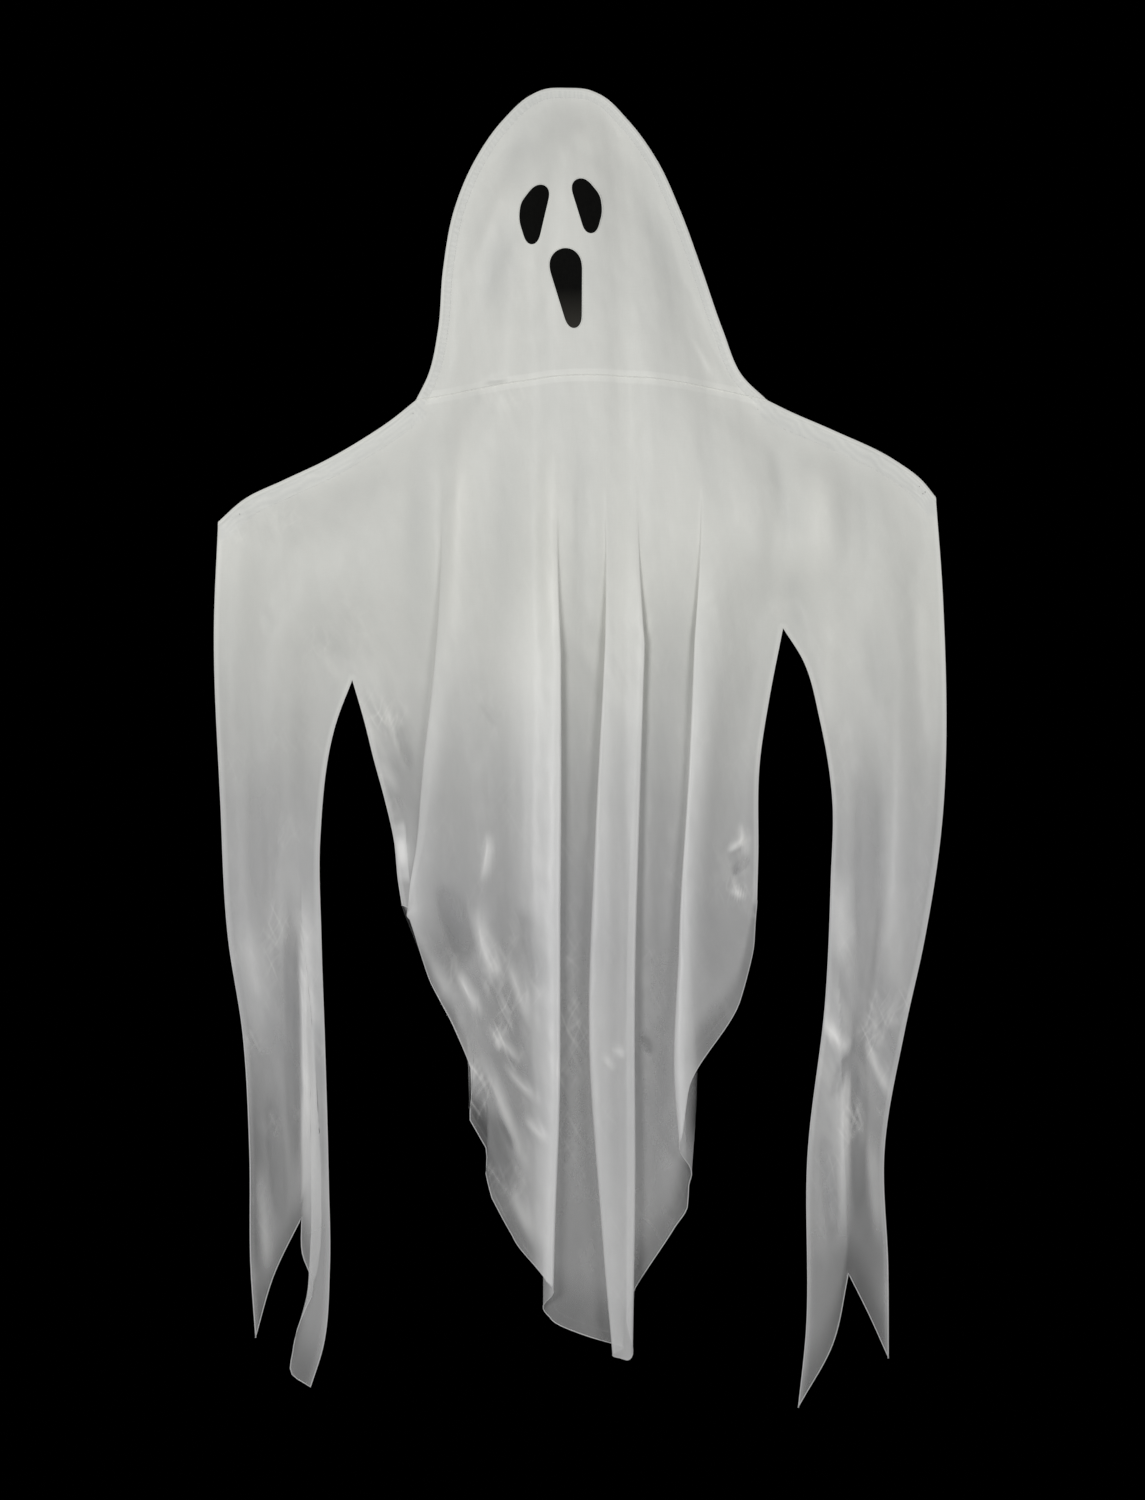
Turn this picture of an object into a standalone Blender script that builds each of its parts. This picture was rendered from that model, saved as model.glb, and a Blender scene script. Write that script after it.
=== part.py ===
"""Life-size hanging ghost: a gown of two sheer cloth layers on a wire hoop and a wire shoulder bow.

Metres, +Z up. The front faces -Y and the origin is the hang point, on the crown of the hood.
Left and right are as seen from the front. Drops are measured downwards.
"""
import math

import bmesh
import bpy
import numpy as np

# Corners of the flat pattern
HEAD_HEIGHT = 0.505
NECK_LEFT = 0.246
NECK_RIGHT = 0.322
SHOULDER_LEFT = 0.566
SHOULDER_LEFT_DROP = 0.197
SHOULDER_RIGHT = 0.595
SHOULDER_RIGHT_DROP = 0.157
ARMPIT_LEFT = 0.349
ARMPIT_LEFT_DROP = 0.256
ARMPIT_RIGHT = 0.348
ARMPIT_RIGHT_DROP = 0.212
SLEEVE_LEFT_LENGTH = 1.320
SLEEVE_RIGHT_LENGTH = 1.393
TIP_LEFT_OUTER = 0.506
TIP_LEFT_INNER = 0.416
TIP_RIGHT_OUTER = 0.519
TIP_RIGHT_INNER = 0.372
INNER_TIP_EXTRA = 0.080
NOTCH_LEFT = 0.430
NOTCH_LEFT_DEPTH = 0.197
NOTCH_RIGHT = 0.453
NOTCH_RIGHT_DEPTH = 0.139
SIDE_LEFT_LENGTH = 0.364
SIDE_RIGHT_LENGTH = 0.440
HEM_LEFT = 0.269
HEM_RIGHT = 0.306
HEM_DROP = 0.735

# Cloth, wire and clearances
CLOTH = 0.0009
WIRE = 0.003
CLEARANCE = 0.0003
WIRE_COVER = 0.0025
NECK_GAP = 0.0009
SEAM_BAND = 0.012
SEAM_SOFTNESS = 0.085
FULLNESS = 0.055
BACK_SHORTER = 0.99
EYE_RADIUS = 0.007
WELD = 0.0001

# Pleats of the front gown from left to right: half the lap of each at the heights below
PLEAT_HEIGHTS = (0.0, 0.3, 0.6, 0.85, 1.0)
SIDE_PLEAT = (0.013, 0.012, 0.010, 0.007, 0.003)
LEFT_FLAP = (0.009, 0.012, 0.018, 0.021, 0.0105)
MIDDLE_PLEAT_LEFT = (0.009, 0.022, 0.028, 0.018, 0.008)
MIDDLE_PLEAT_RIGHT = (0.009, 0.010, 0.010, 0.009, 0.007)
RIGHT_FLAP = (0.011, 0.010, 0.020, 0.008, 0.000)
PLEAT_DEPTH = 0.046
SCALLOP_DEPTH = 0.005
SCALLOP_PITCH = 0.146
SCALLOP_FIRST = 0.2136
SCALLOP_LAST = 0.5056
FRONT_PLEATS = (SIDE_PLEAT, LEFT_FLAP, MIDDLE_PLEAT_LEFT, MIDDLE_PLEAT_RIGHT, RIGHT_FLAP)
NO_PLEAT = (0, 0, 0, 0, 0)
SCALLOP_SIDE = 0.40
CHEST_OPENING = 0.60
SOFT_FOLD_DEPTH = 0.014
SOFT_FOLD_WIDTH = 0.030
SOFT_FOLDS = (-0.212, -0.060, 0.090, 0.345, 0.465)
BACK_FOLDS = (-0.200, -0.120, -0.035, 0.055, 0.150, 0.235)

# Face openings: each is the line stretched round its circles of (across, drop, radius)
LEFT_EYE = ((-0.0452, 0.1787, 0.0156), (-0.0625, 0.2127, 0.0164), (-0.0577, 0.2478, 0.0109))
RIGHT_EYE = ((0.0214, 0.1682, 0.0154), (0.0391, 0.2014, 0.0164), (0.0365, 0.2316, 0.0112))
MOUTH = ((-0.0040, 0.2918, 0.0260), (0.0097, 0.3831, 0.0117))
FACE_MARGIN = 0.012
CUTTER_DEPTH = 0.300

# Edges between two corners, each pair a share along and a share of the length to the side
ARCH_LEFT = ((0.037, 0.0635), (0.065, 0.087), (0.165, 0.128), (0.304, 0.150), (0.46, 0.141),
             (0.629, 0.094), (0.791, 0.031), (0.92, 0.0))
ARCH_RIGHT = ((0.034, -0.044), (0.064, -0.065), (0.16, -0.09), (0.293, -0.098), (0.441, -0.078),
              (0.609, -0.041), (0.777, -0.001), (0.907, 0.021))
NECK_SEAM = ((0.182, -0.028), (0.41, -0.060), (0.638, -0.057), (0.809, -0.037))
SHOULDER_LEFT_LINE = ((0.137, -0.017), (0.292, -0.022), (0.465, -0.017), (0.663, 0.005),
                      (0.859, 0.024))
SHOULDER_RIGHT_LINE = ((0.115, -0.007), (0.37, -0.035), (0.723, -0.06), (0.894, -0.04))
OUTER_LEFT_LINE = ((0.129, 0.011), (0.34, 0.013), (0.512, 0.011), (0.623, -0.001),
                   (0.77, -0.003), (0.917, 0.002))
OUTER_RIGHT_LINE = ((0.119, -0.015), (0.397, -0.027), (0.514, -0.015), (0.619, 0.002),
                    (0.759, 0.018), (0.898, 0.006))
INNER_LEFT_LINE = ((0.057, 0.018), (0.228, 0.032), (0.368, 0.022), (0.508, 0.009),
                   (0.705, -0.008), (0.831, -0.017), (0.944, -0.014))
INNER_RIGHT_LINE = ((0.042, -0.025), (0.119, -0.045), (0.222, -0.059), (0.325, -0.055),
                    (0.478, -0.045), (0.67, -0.019), (0.914, -0.011))
SIDE_LEFT_LINE = ((0.180, -0.012), (0.359, -0.017), (0.539, -0.026), (0.717, -0.027),
                  (0.890, -0.007))
SIDE_RIGHT_LINE = ((0.267, 0.026), (0.489, 0.038), (0.854, 0.010))
CUFFS = {
    "left": (((0.5, -0.040),), ((0.2, 0.010), (0.44, -0.041), (0.56, 0.018), (0.67, 0.064),
                                (0.79, 0.094), (0.906, 0.110))),
    "right": (((0.5, 0.010),), ((0.5, -0.070),)),
}

# Front gown between the side seams. Each row: grid columns from the row before, share across
# the neck, share across the chest, share across the hem, share of the hem's drop, and the layer
# that the cloth has reached: 1 in front, 0 behind, 0.5 where it is sewn
GOWN_STATIONS = (
    (0, 0.000, 0.000, 0.000, 0.000, 0.5),
    (2, 0.068, 0.186, 0.010, 0.003, 0),
    (5, 0.103, 0.218, 0.024, 0.032, 1),
    (3, 0.150, 0.268, 0.094, 0.187, 1),
    (4, 0.205, 0.316, 0.180, 0.363, 1),
    (4, 0.265, 0.362, 0.250, 0.556, 1),
    (3, 0.325, 0.408, 0.323, 0.726, 1),
    (2, 0.387, 0.448, 0.406, 0.817, 1),
    (5, 0.416, 0.483, 0.420, 0.908, 0),
    (3, 0.515, 0.587, 0.604, 0.969, 0),
    (5, 0.549, 0.620, 0.618, 0.989, 1),
    (1, 0.600, 0.632, 0.632, 0.994, 1),
    (5, 0.634, 0.664, 0.649, 0.859, 0),
    (2, 0.710, 0.730, 0.763, 0.716, 0),
    (1, 0.760, 0.765, 0.803, 0.664, 0),
    (1, 0.801, 0.784, 0.806, 0.616, 0),
    (5, 0.829, 0.817, 0.785, 0.507, 1),
    (1, 0.853, 0.845, 0.800, 0.413, 1),
    (2, 0.895, 0.900, 0.948, 0.212, 1),
    (1, 0.935, 0.945, 0.989, 0.095, 1),
    (2, 1.000, 1.000, 1.000, 0.000, 0.5),
)
BACK_STATIONS = (
    (0, 0.000, 0.000, 0.000, 0.000, 0.5),
    (2, 0.120, 0.130, 0.096, 0.206, 0.5),
    (2, 0.250, 0.260, 0.242, 0.542, 0.5),
    (1, 0.360, 0.370, 0.315, 0.732, 0.5),
    (1, 0.430, 0.440, 0.411, 0.852, 0.5),
    (1, 0.470, 0.480, 0.434, 0.914, 0.5),
    (2, 0.560, 0.580, 0.637, 0.976, 0.5),
    (1, 0.620, 0.630, 0.659, 0.859, 0.5),
    (1, 0.700, 0.710, 0.766, 0.719, 0.5),
    (1, 0.750, 0.760, 0.800, 0.636, 0.5),
    (1, 0.800, 0.810, 0.806, 0.460, 0.5),
    (2, 0.900, 0.900, 0.946, 0.220, 0.5),
    (1, 1.000, 1.000, 1.000, 0.000, 0.5),
)

# Grid density
HOOD_COLUMNS = 12
HOOD_ROWS = 11
SLEEVE_COLUMNS = 5
YOKE_ROWS = 7
GOWN_ROWS = 12
SLEEVE_ROWS = 13
WIRE_POINTS = 42
EYE_POINTS = 9
OUTLINE_POINTS = 28
OUTLINE_ROUNDING = 2
ARCH_CORNERS = (0.36, 0.64)
SEAM_SAMPLES = 40

PEARL_CLOTH = ((0.80, 0.80, 0.77, 1.0), 0.55, 0.0)
BLACK_CLOTH = ((0.012, 0.011, 0.010, 1.0), 0.90, 0.0)
STEEL = ((0.50, 0.50, 0.49, 1.0), 0.38, 1.0)


def corners():
    """Named corners of the front view as (x, z) arrays."""
    neck = -HEAD_HEIGHT
    left_shoulder = neck - SHOULDER_LEFT_DROP
    right_shoulder = neck - SHOULDER_RIGHT_DROP
    left_armpit = left_shoulder - ARMPIT_LEFT_DROP
    right_armpit = right_shoulder - ARMPIT_RIGHT_DROP
    left_tip = left_shoulder - SLEEVE_LEFT_LENGTH
    right_tip = right_shoulder - SLEEVE_RIGHT_LENGTH
    places = {
        "crown": (0.0, 0.0),
        "neck_left": (-NECK_LEFT, neck),
        "neck_right": (NECK_RIGHT, neck),
        "shoulder_left": (-SHOULDER_LEFT, left_shoulder),
        "shoulder_right": (SHOULDER_RIGHT, right_shoulder),
        "armpit_left": (-ARMPIT_LEFT, left_armpit),
        "armpit_right": (ARMPIT_RIGHT, right_armpit),
        "tip_left_outer": (-TIP_LEFT_OUTER, left_tip),
        "tip_left_inner": (-TIP_LEFT_INNER, left_tip - INNER_TIP_EXTRA),
        "tip_right_outer": (TIP_RIGHT_OUTER, right_tip),
        "tip_right_inner": (TIP_RIGHT_INNER, right_tip - INNER_TIP_EXTRA),
        "notch_left": (-NOTCH_LEFT, left_tip + NOTCH_LEFT_DEPTH),
        "notch_right": (NOTCH_RIGHT, right_tip + NOTCH_RIGHT_DEPTH),
        "hem_left": (-HEM_LEFT, left_armpit - SIDE_LEFT_LENGTH),
        "hem_right": (HEM_RIGHT, right_armpit - SIDE_RIGHT_LENGTH),
    }
    return {name: np.array(place) for name, place in places.items()}


def edge(start, end, shape):
    """Both corners with the bowed points between them."""
    run = end - start
    side = np.array((run[1], -run[0]))
    bowed = [start + along * run + across * side for along, across in shape]
    return np.array([start, *bowed, end])


def along(points, shares):
    """Points of the smooth curve through the given ones, at shares of its chord length."""
    steps = np.linalg.norm(np.diff(points, axis=0), axis=1)
    knots = np.concatenate(([0.0], np.cumsum(steps))) / steps.sum()
    slopes = np.gradient(points, knots, axis=0)
    piece = np.clip(np.searchsorted(knots, shares, side="right") - 1, 0, len(steps) - 1)
    span = (knots[piece + 1] - knots[piece])[:, None]
    t = (shares - knots[piece])[:, None] / span
    start, end = points[piece], points[piece + 1]
    return (start * (2 * t**3 - 3 * t**2 + 1) + end * (3 * t**2 - 2 * t**3)
            + slopes[piece] * span * (t**3 - 2 * t**2 + t) + slopes[piece + 1] * span * (t**3 - t**2))


def outlines(place):
    """Every edge of the flat pattern, as a list of points."""
    arch_left = edge(place["crown"], place["neck_left"], ARCH_LEFT)
    arch_right = edge(place["crown"], place["neck_right"], ARCH_RIGHT)
    cuffs = {}
    for side in ("left", "right"):
        outer = edge(place[f"tip_{side}_outer"], place[f"notch_{side}"], CUFFS[side][0])
        inner = edge(place[f"notch_{side}"], place[f"tip_{side}_inner"], CUFFS[side][1])
        cuffs[side] = (outer, inner)
    return {
        "arch": np.concatenate((arch_left[::-1], arch_right[1:])),
        "neck": edge(place["neck_left"], place["neck_right"], NECK_SEAM),
        "shoulder_left": edge(place["neck_left"], place["shoulder_left"], SHOULDER_LEFT_LINE),
        "shoulder_right": edge(place["neck_right"], place["shoulder_right"], SHOULDER_RIGHT_LINE),
        "outer_left": edge(place["shoulder_left"], place["tip_left_outer"], OUTER_LEFT_LINE),
        "outer_right": edge(place["shoulder_right"], place["tip_right_outer"], OUTER_RIGHT_LINE),
        "inner_left": edge(place["armpit_left"], place["tip_left_inner"], INNER_LEFT_LINE),
        "inner_right": edge(place["armpit_right"], place["tip_right_inner"], INNER_RIGHT_LINE),
        "side_left": edge(place["armpit_left"], place["hem_left"], SIDE_LEFT_LINE),
        "side_right": edge(place["armpit_right"], place["hem_right"], SIDE_RIGHT_LINE),
        "cuff_left": cuffs["left"],
        "cuff_right": cuffs["right"],
    }


def patch(top, low, left, right, across=None):
    """Coons patch between four sampled edges, rows from top to low and columns left to right."""
    u = np.linspace(0, 1, len(top)) if across is None else across
    u = u[None, :, None]
    v = np.linspace(0, 1, len(left))[:, None, None]
    ruled = (1 - v) * top[None] + v * low[None] + (1 - u) * left[:, None] + u * right[:, None]
    twist = ((1 - u) * (1 - v) * top[0] + u * (1 - v) * top[-1]
             + (1 - u) * v * low[0] + u * v * low[-1])
    return ruled - twist


def seam_distance(points, lines):
    """Distance in the front view from each point to the nearest sewn edge."""
    nearest = np.full(points.shape[:-1], np.inf)
    for line in lines:
        fine = along(line, np.linspace(0, 1, SEAM_SAMPLES))
        for start, end in zip(fine[:-1], fine[1:]):
            run = end - start
            t = np.clip(((points - start) @ run) / (run @ run), 0, 1)
            gap = np.linalg.norm(points - start - t[..., None] * run, axis=-1)
            nearest = np.minimum(nearest, gap)
    return nearest


def sewn_edges(line):
    """The edges where front and back are sewn together: all but the neck, the hem and the cuffs."""
    names = ("arch", "shoulder_left", "shoulder_right", "outer_left", "outer_right",
             "inner_left", "inner_right", "side_left", "side_right")
    return [line[name] for name in names]


def billow(points, lines):
    """0 on a sewn edge, rising smoothly to 1 in the middle of the cloth."""
    reach = np.maximum(seam_distance(points, lines) - SEAM_BAND, 0)
    return 1 - np.exp(-(reach / SEAM_SOFTNESS) ** 2)


def soft_folds(points, places):
    """Depth share of the shallow vertical folds at the given places across."""
    x = points[..., 0]
    return sum(np.exp(-((x - at) / SOFT_FOLD_WIDTH) ** 2) for at in places)


def set_back(points, lines, folds, side, layer=0.5):
    """Turn a flat patch into its bowed form: side is -1 for the front layer and 1 for the back."""
    share = billow(points, lines)
    depth = FULLNESS + PLEAT_DEPTH * (layer - 0.5) - SOFT_FOLD_DEPTH * soft_folds(points, folds)
    resting = WIRE / 2 + CLEARANCE + CLOTH / 2
    y = side * (resting + share * depth)
    return np.stack((points[..., 0], y, points[..., 1]), axis=-1)


def rising(counts, values, at):
    """Cubic through the values that never overshoots: its slope at each is the flatter neighbour's."""
    steps = np.diff(values) / np.diff(counts)
    before, after = np.append(steps[:1], steps), np.append(steps, steps[-1:])
    slopes = np.where(before * after > 0, np.sign(after) * np.minimum(abs(before), abs(after)), 0)
    piece = np.clip(np.searchsorted(counts, at, side="right") - 1, 0, len(steps) - 1)
    span = counts[piece + 1] - counts[piece]
    t = (at - counts[piece]) / span
    return (values[piece] * (2 * t**3 - 3 * t**2 + 1) + values[piece + 1] * (3 * t**2 - 2 * t**3)
            + slopes[piece] * span * (t**3 - 2 * t**2 + t) + slopes[piece + 1] * span * (t**3 - t**2))


def station_columns(stations):
    """Spread the stations over the grid columns.

    Returns the shares across neck, chest and hem, the drop, the layer, and for each column the
    sideways swing of its pleat and that pleat's number.
    """
    table = np.array(stations)
    counts = np.cumsum(table[:, 0])
    columns = np.arange(counts[-1] + 1)
    hem, drop = (rising(counts, table[:, k], columns) for k in (3, 4))
    neck, chest = (np.interp(columns, counts, table[:, k]) for k in (1, 2))
    before = np.minimum(np.searchsorted(counts, columns, side="right") - 1, len(counts) - 2)
    t = (columns - counts[before]) / (counts[before + 1] - counts[before])
    reached = table[:, 5]
    layer = reached[before] + (reached[before + 1] - reached[before]) * t * t * (3 - 2 * t)
    turns = np.abs(np.diff(reached)) == 1
    number = np.cumsum(turns)[before] - 1
    swing = turns[before] * np.sin(math.tau * t)
    return neck, chest, hem, drop, layer, swing, np.maximum(number, 0)


def split_outer(line, level):
    """Share along an outer sleeve edge at which it passes the given height."""
    shares = np.linspace(0, 1, SEAM_SAMPLES)
    heights = along(line, shares)[:, 1]
    return float(np.interp(-level, -heights, shares))


def sleeve_patches(line, place, side, rows):
    """Yoke and lower patch of one sleeve, columns from the outside in on the left."""
    outer = line[f"outer_{side}"]
    level = place[f"armpit_{side}"][1]
    cut = split_outer(outer, level)
    columns = np.linspace(0, 1, SLEEVE_COLUMNS + 1)
    chest = along(outer, np.array([cut]))[0]
    armpit = place[f"armpit_{side}"]
    top = along(line[f"shoulder_{side}"], columns)[::-1]
    middle = chest + columns[:, None] * (armpit - chest)
    down = np.linspace(0, 1, YOKE_ROWS + 1)
    yoke = patch(top, middle, along(outer, down * cut), inner_yoke(place, side, down))
    below = np.linspace(0, 1, rows + 1)
    outer_cuff, inner_cuff = line[f"cuff_{side}"]
    half = (len(columns) + 1) // 2
    cuff = np.concatenate((along(outer_cuff, np.linspace(0, 1, half)),
                           along(inner_cuff, np.linspace(0, 1, len(columns) - half + 1))[1:]))
    lower = patch(middle, cuff, along(outer, cut + below * (1 - cut)),
                  along(line[f"inner_{side}"], below))
    if side == "right":
        return yoke[:, ::-1], lower[:, ::-1]
    return yoke, lower


def inner_yoke(place, side, down):
    """Straight line on the cloth from the neck corner to the armpit."""
    start = place[f"neck_{side}"]
    return start + down[:, None] * (place[f"armpit_{side}"] - start)


def scallops(heights, start, depth):
    """Sideways waves of the hem on the left flap, between two depths below the hem's end."""
    below = start - heights
    within = (below > SCALLOP_FIRST) & (below < SCALLOP_LAST)
    return depth * within * np.sin(math.tau * (below - SCALLOP_FIRST) / SCALLOP_PITCH)


def torso_patches(line, place, stations, hem_share, pleats):
    """Yoke and skirt between the armpits, with the pleats folded over sideways."""
    neck, chest, hem, drop, layer, swing, number = station_columns(stations)
    top = along(line["neck"], neck)
    middle = place["armpit_left"] + chest[:, None] * (place["armpit_right"] - place["armpit_left"])
    low = place["hem_left"] + hem[:, None] * (place["hem_right"] - place["hem_left"])
    low[:, 1] -= drop * HEM_DROP * hem_share
    on_flap = hem < SCALLOP_SIDE
    low[:, 0] += on_flap * scallops(low[:, 1], place["hem_left"][1], SCALLOP_DEPTH)
    down = np.linspace(0, 1, YOKE_ROWS + 1)
    below = np.linspace(0, 1, GOWN_ROWS + 1)
    yoke = patch(top, middle, inner_yoke(place, "left", down), inner_yoke(place, "right", down), neck)
    skirt = patch(middle, low, along(line["side_left"], below), along(line["side_right"], below),
                  chest)
    laps = np.array([np.interp(below, PLEAT_HEIGHTS, pleat) for pleat in pleats])
    yoke_lap = (down**1.5)[:, None] * laps[number, 0]
    skirt_lap = laps[number].T
    yoke_open = CHEST_OPENING * down**1.5
    skirt_open = CHEST_OPENING + below * (1 - CHEST_OPENING)
    made = []
    for points, lap, opening in ((yoke, yoke_lap, yoke_open), (skirt, skirt_lap, skirt_open)):
        points[..., 0] += lap * swing
        made.append((points, 0.5 + (layer - 0.5) * opening[:, None]))
    return made


def cloth_object(name, patches, material, collection):
    """Join grid patches at their shared edges and give the sheet its thickness."""
    form = bmesh.new()
    for grid in patches:
        rows, columns = grid.shape[:2]
        corners_of = [[form.verts.new(point) for point in row] for row in grid]
        for j in range(rows - 1):
            for i in range(columns - 1):
                form.faces.new((corners_of[j][i], corners_of[j + 1][i],
                                corners_of[j + 1][i + 1], corners_of[j][i + 1]))
    bmesh.ops.remove_doubles(form, verts=form.verts, dist=WELD)
    bmesh.ops.recalc_face_normals(form, faces=form.faces)
    bmesh.ops.triangulate(form, faces=form.faces, quad_method="FIXED")
    mesh = bpy.data.meshes.new(name)
    form.to_mesh(mesh)
    form.free()
    mesh.shade_smooth()
    mesh.materials.append(material)
    sheet = bpy.data.objects.new(name, mesh)
    collection.objects.link(sheet)
    wall = sheet.modifiers.new("cloth_thickness", "SOLIDIFY")
    wall.thickness = CLOTH
    wall.offset = 0.0
    return sheet


def hood_grid(line):
    """Flat patch of one hood layer: the arch over the neck seam, clear of the gown's edge."""
    low_corner, high_corner = ARCH_CORNERS
    arch = line["arch"]
    columns = np.linspace(0, 1, HOOD_COLUMNS + 1)
    rows = np.linspace(0, 1, HOOD_ROWS + 1)
    top = along(arch, low_corner + columns * (high_corner - low_corner))
    left = along(arch, low_corner * (1 - rows))
    right = along(arch, high_corner + rows * (1 - high_corner))
    flat = patch(top, along(line["neck"], columns), left, right)
    flat[..., 1] += NECK_GAP * rows[:, None]
    return flat


def face_openings():
    """The three openings in the hood as (name, circles)."""
    return (("left_eye_cutter", LEFT_EYE), ("right_eye_cutter", RIGHT_EYE), ("mouth_cutter", MOUTH))


def opening_outline(circles):
    """Line stretched round the circles, with its corners rounded.

    In each direction it is the point of the circle that reaches furthest that way. Even points
    along it are then averaged with their neighbours.
    """
    across, drop, radius = np.array(circles).T
    turn = np.arange(OUTLINE_POINTS) * math.tau / OUTLINE_POINTS
    way = np.column_stack((np.sin(turn), np.cos(turn)))
    furthest = np.argmax(way @ np.array((across, -drop)) + radius, axis=1)
    hull = np.column_stack((across, -drop))[furthest] + radius[furthest][:, None] * way
    closed = np.concatenate((hull, hull[:1]))
    walked = np.concatenate(([0.0], np.cumsum(np.linalg.norm(np.diff(closed, axis=0), axis=1))))
    at = np.arange(OUTLINE_POINTS) / OUTLINE_POINTS * walked[-1]
    even = np.column_stack([np.interp(at, walked, closed[:, k]) for k in (0, 1)])
    spread = range(-OUTLINE_ROUNDING, OUTLINE_ROUNDING + 1)
    return (sum(np.roll(even, k, axis=0) for k in spread) / len(spread)).T


def flat_cutter(name, circles, collection):
    """Filled flat outline stood upright and run through the hood's front layer."""
    x, z = opening_outline(circles)
    outline = bpy.data.curves.new(name, "CURVE")
    outline.dimensions = "2D"
    outline.fill_mode = "BOTH"
    outline.extrude = CUTTER_DEPTH / 2
    path = outline.splines.new("POLY")
    path.points.add(len(x) - 1)
    path.points.foreach_set("co", np.column_stack((x, z, 0 * x, 0 * x + 1)).ravel())
    path.use_cyclic_u = True
    guide = bpy.data.objects.new(name + "_outline", outline)
    guide.rotation_euler = (math.pi / 2, 0, 0)
    guide.location = (0, -CUTTER_DEPTH / 2 - WIRE, 0)
    collection.objects.link(guide)
    bpy.context.view_layer.update()
    seen = guide.evaluated_get(bpy.context.evaluated_depsgraph_get())
    mesh = bpy.data.meshes.new_from_object(seen)
    form = bmesh.new()
    form.from_mesh(mesh)
    bmesh.ops.remove_doubles(form, verts=form.verts, dist=WELD / 10)
    bmesh.ops.recalc_face_normals(form, faces=form.faces)
    form.to_mesh(mesh)
    form.free()
    cutter = bpy.data.objects.new(name, mesh)
    cutter.matrix_world = guide.matrix_world
    cutter.hide_render = True
    cutter.display_type = "WIRE"
    collection.objects.link(cutter)
    bpy.data.objects.remove(guide, do_unlink=True)
    return cutter


def cut_openings(sheet, cutters):
    """Cut the face openings through the finished layer."""
    for name, circles in face_openings():
        cut = sheet.modifiers.new(name, "BOOLEAN")
        cut.operation = "DIFFERENCE"
        cut.solver = "EXACT"
        cut.object = flat_cutter(name, circles, cutters)


def backing_block(grid):
    """Rows and columns of the hood grid that reach past the face openings on every side."""
    shapes = [opening_outline(circles) for _, circles in face_openings()]
    low_x = min(x.min() for x, _ in shapes) - FACE_MARGIN
    high_x = max(x.max() for x, _ in shapes) + FACE_MARGIN
    low_z = min(z.min() for _, z in shapes) - FACE_MARGIN
    high_z = max(z.max() for _, z in shapes) + FACE_MARGIN
    across = grid[len(grid) // 2, :, 0]
    down = grid[:, grid.shape[1] // 2, 2]
    columns = np.flatnonzero((across > low_x) & (across < high_x))
    rows = np.flatnonzero((down > low_z) & (down < high_z))
    return grid[rows[0] - 1:rows[-1] + 2, columns[0] - 1:columns[-1] + 2]


def inset(points, distance):
    """Points moved square to their line, to its right as it runs."""
    run = np.gradient(points, axis=0)
    run /= np.linalg.norm(run, axis=1)[:, None]
    return points + distance * np.column_stack((run[:, 1], -run[:, 0]))


def eye(end, before):
    """Points of the small loop that closes a wire's end, short of touching the wire."""
    run = (end - before) / np.linalg.norm(end - before)
    side = np.array((run[1], -run[0]))
    if side[1] > 0:
        side = -side
    turn = np.linspace(0, math.tau * 0.80, EYE_POINTS + 1)[1:, None]
    return end + EYE_RADIUS * (np.sin(turn) * run + (1 - np.cos(turn)) * side)


def wire_object(name, points, material, collection):
    """Round wire along points of the front view."""
    curve = bpy.data.curves.new(name, "CURVE")
    curve.dimensions = "3D"
    curve.bevel_depth = WIRE / 2
    curve.bevel_resolution = 2
    curve.use_fill_caps = True
    path = curve.splines.new("POLY")
    path.points.add(len(points) - 1)
    whole = np.column_stack((points[:, 0], 0 * points[:, 0], points[:, 1], 0 * points[:, 0] + 1))
    path.points.foreach_set("co", whole.ravel())
    curve.materials.append(material)
    wire = bpy.data.objects.new(name, curve)
    collection.objects.link(wire)
    return wire


def wire_paths(line, place):
    """Centre lines of the hood hoop and of the shoulder bow."""
    depth = WIRE / 2 + WIRE_COVER
    shares = np.linspace(0, 1, WIRE_POINTS)
    hoop = inset(along(line["arch"], shares), depth)
    left = along(line["shoulder_left"], np.linspace(1, 0, WIRE_POINTS // 3))
    right = along(line["shoulder_right"], np.linspace(0, 1, WIRE_POINTS // 3))
    left = inset(left, depth)[1:-1]
    right = inset(right, depth)[1:-1]
    across = np.linspace(0, 1, WIRE_POINTS // 3)[1:-1, None]
    bridge = left[-1] + across * (right[0] - left[-1])
    bow = np.concatenate((left, bridge, right))
    seat = WIRE + CLEARANCE
    above = np.interp(hoop[:, 0], bow[:, 0], bow[:, 1]) + seat
    hoop = hoop[hoop[:, 1] > above + EYE_RADIUS]
    feet = [np.array((end[0], np.interp(end[0], bow[:, 0], bow[:, 1]) + seat))
            for end in (hoop[0], hoop[-1])]
    hoop = np.concatenate((feet[:1], hoop, feet[1:]))
    bow = np.concatenate((eye(bow[0], bow[1])[::-1], bow, eye(bow[-1], bow[-2])))
    return hoop, bow


def surface(name, values):
    """Principled material from colour, roughness and metallic value."""
    colour, roughness, metallic = values
    material = bpy.data.materials.new(name)
    material.use_nodes = True
    shader = material.node_tree.nodes["Principled BSDF"]
    shader.inputs["Base Color"].default_value = colour
    shader.inputs["Roughness"].default_value = roughness
    shader.inputs["Metallic"].default_value = metallic
    material.diffuse_color = colour
    return material


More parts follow.
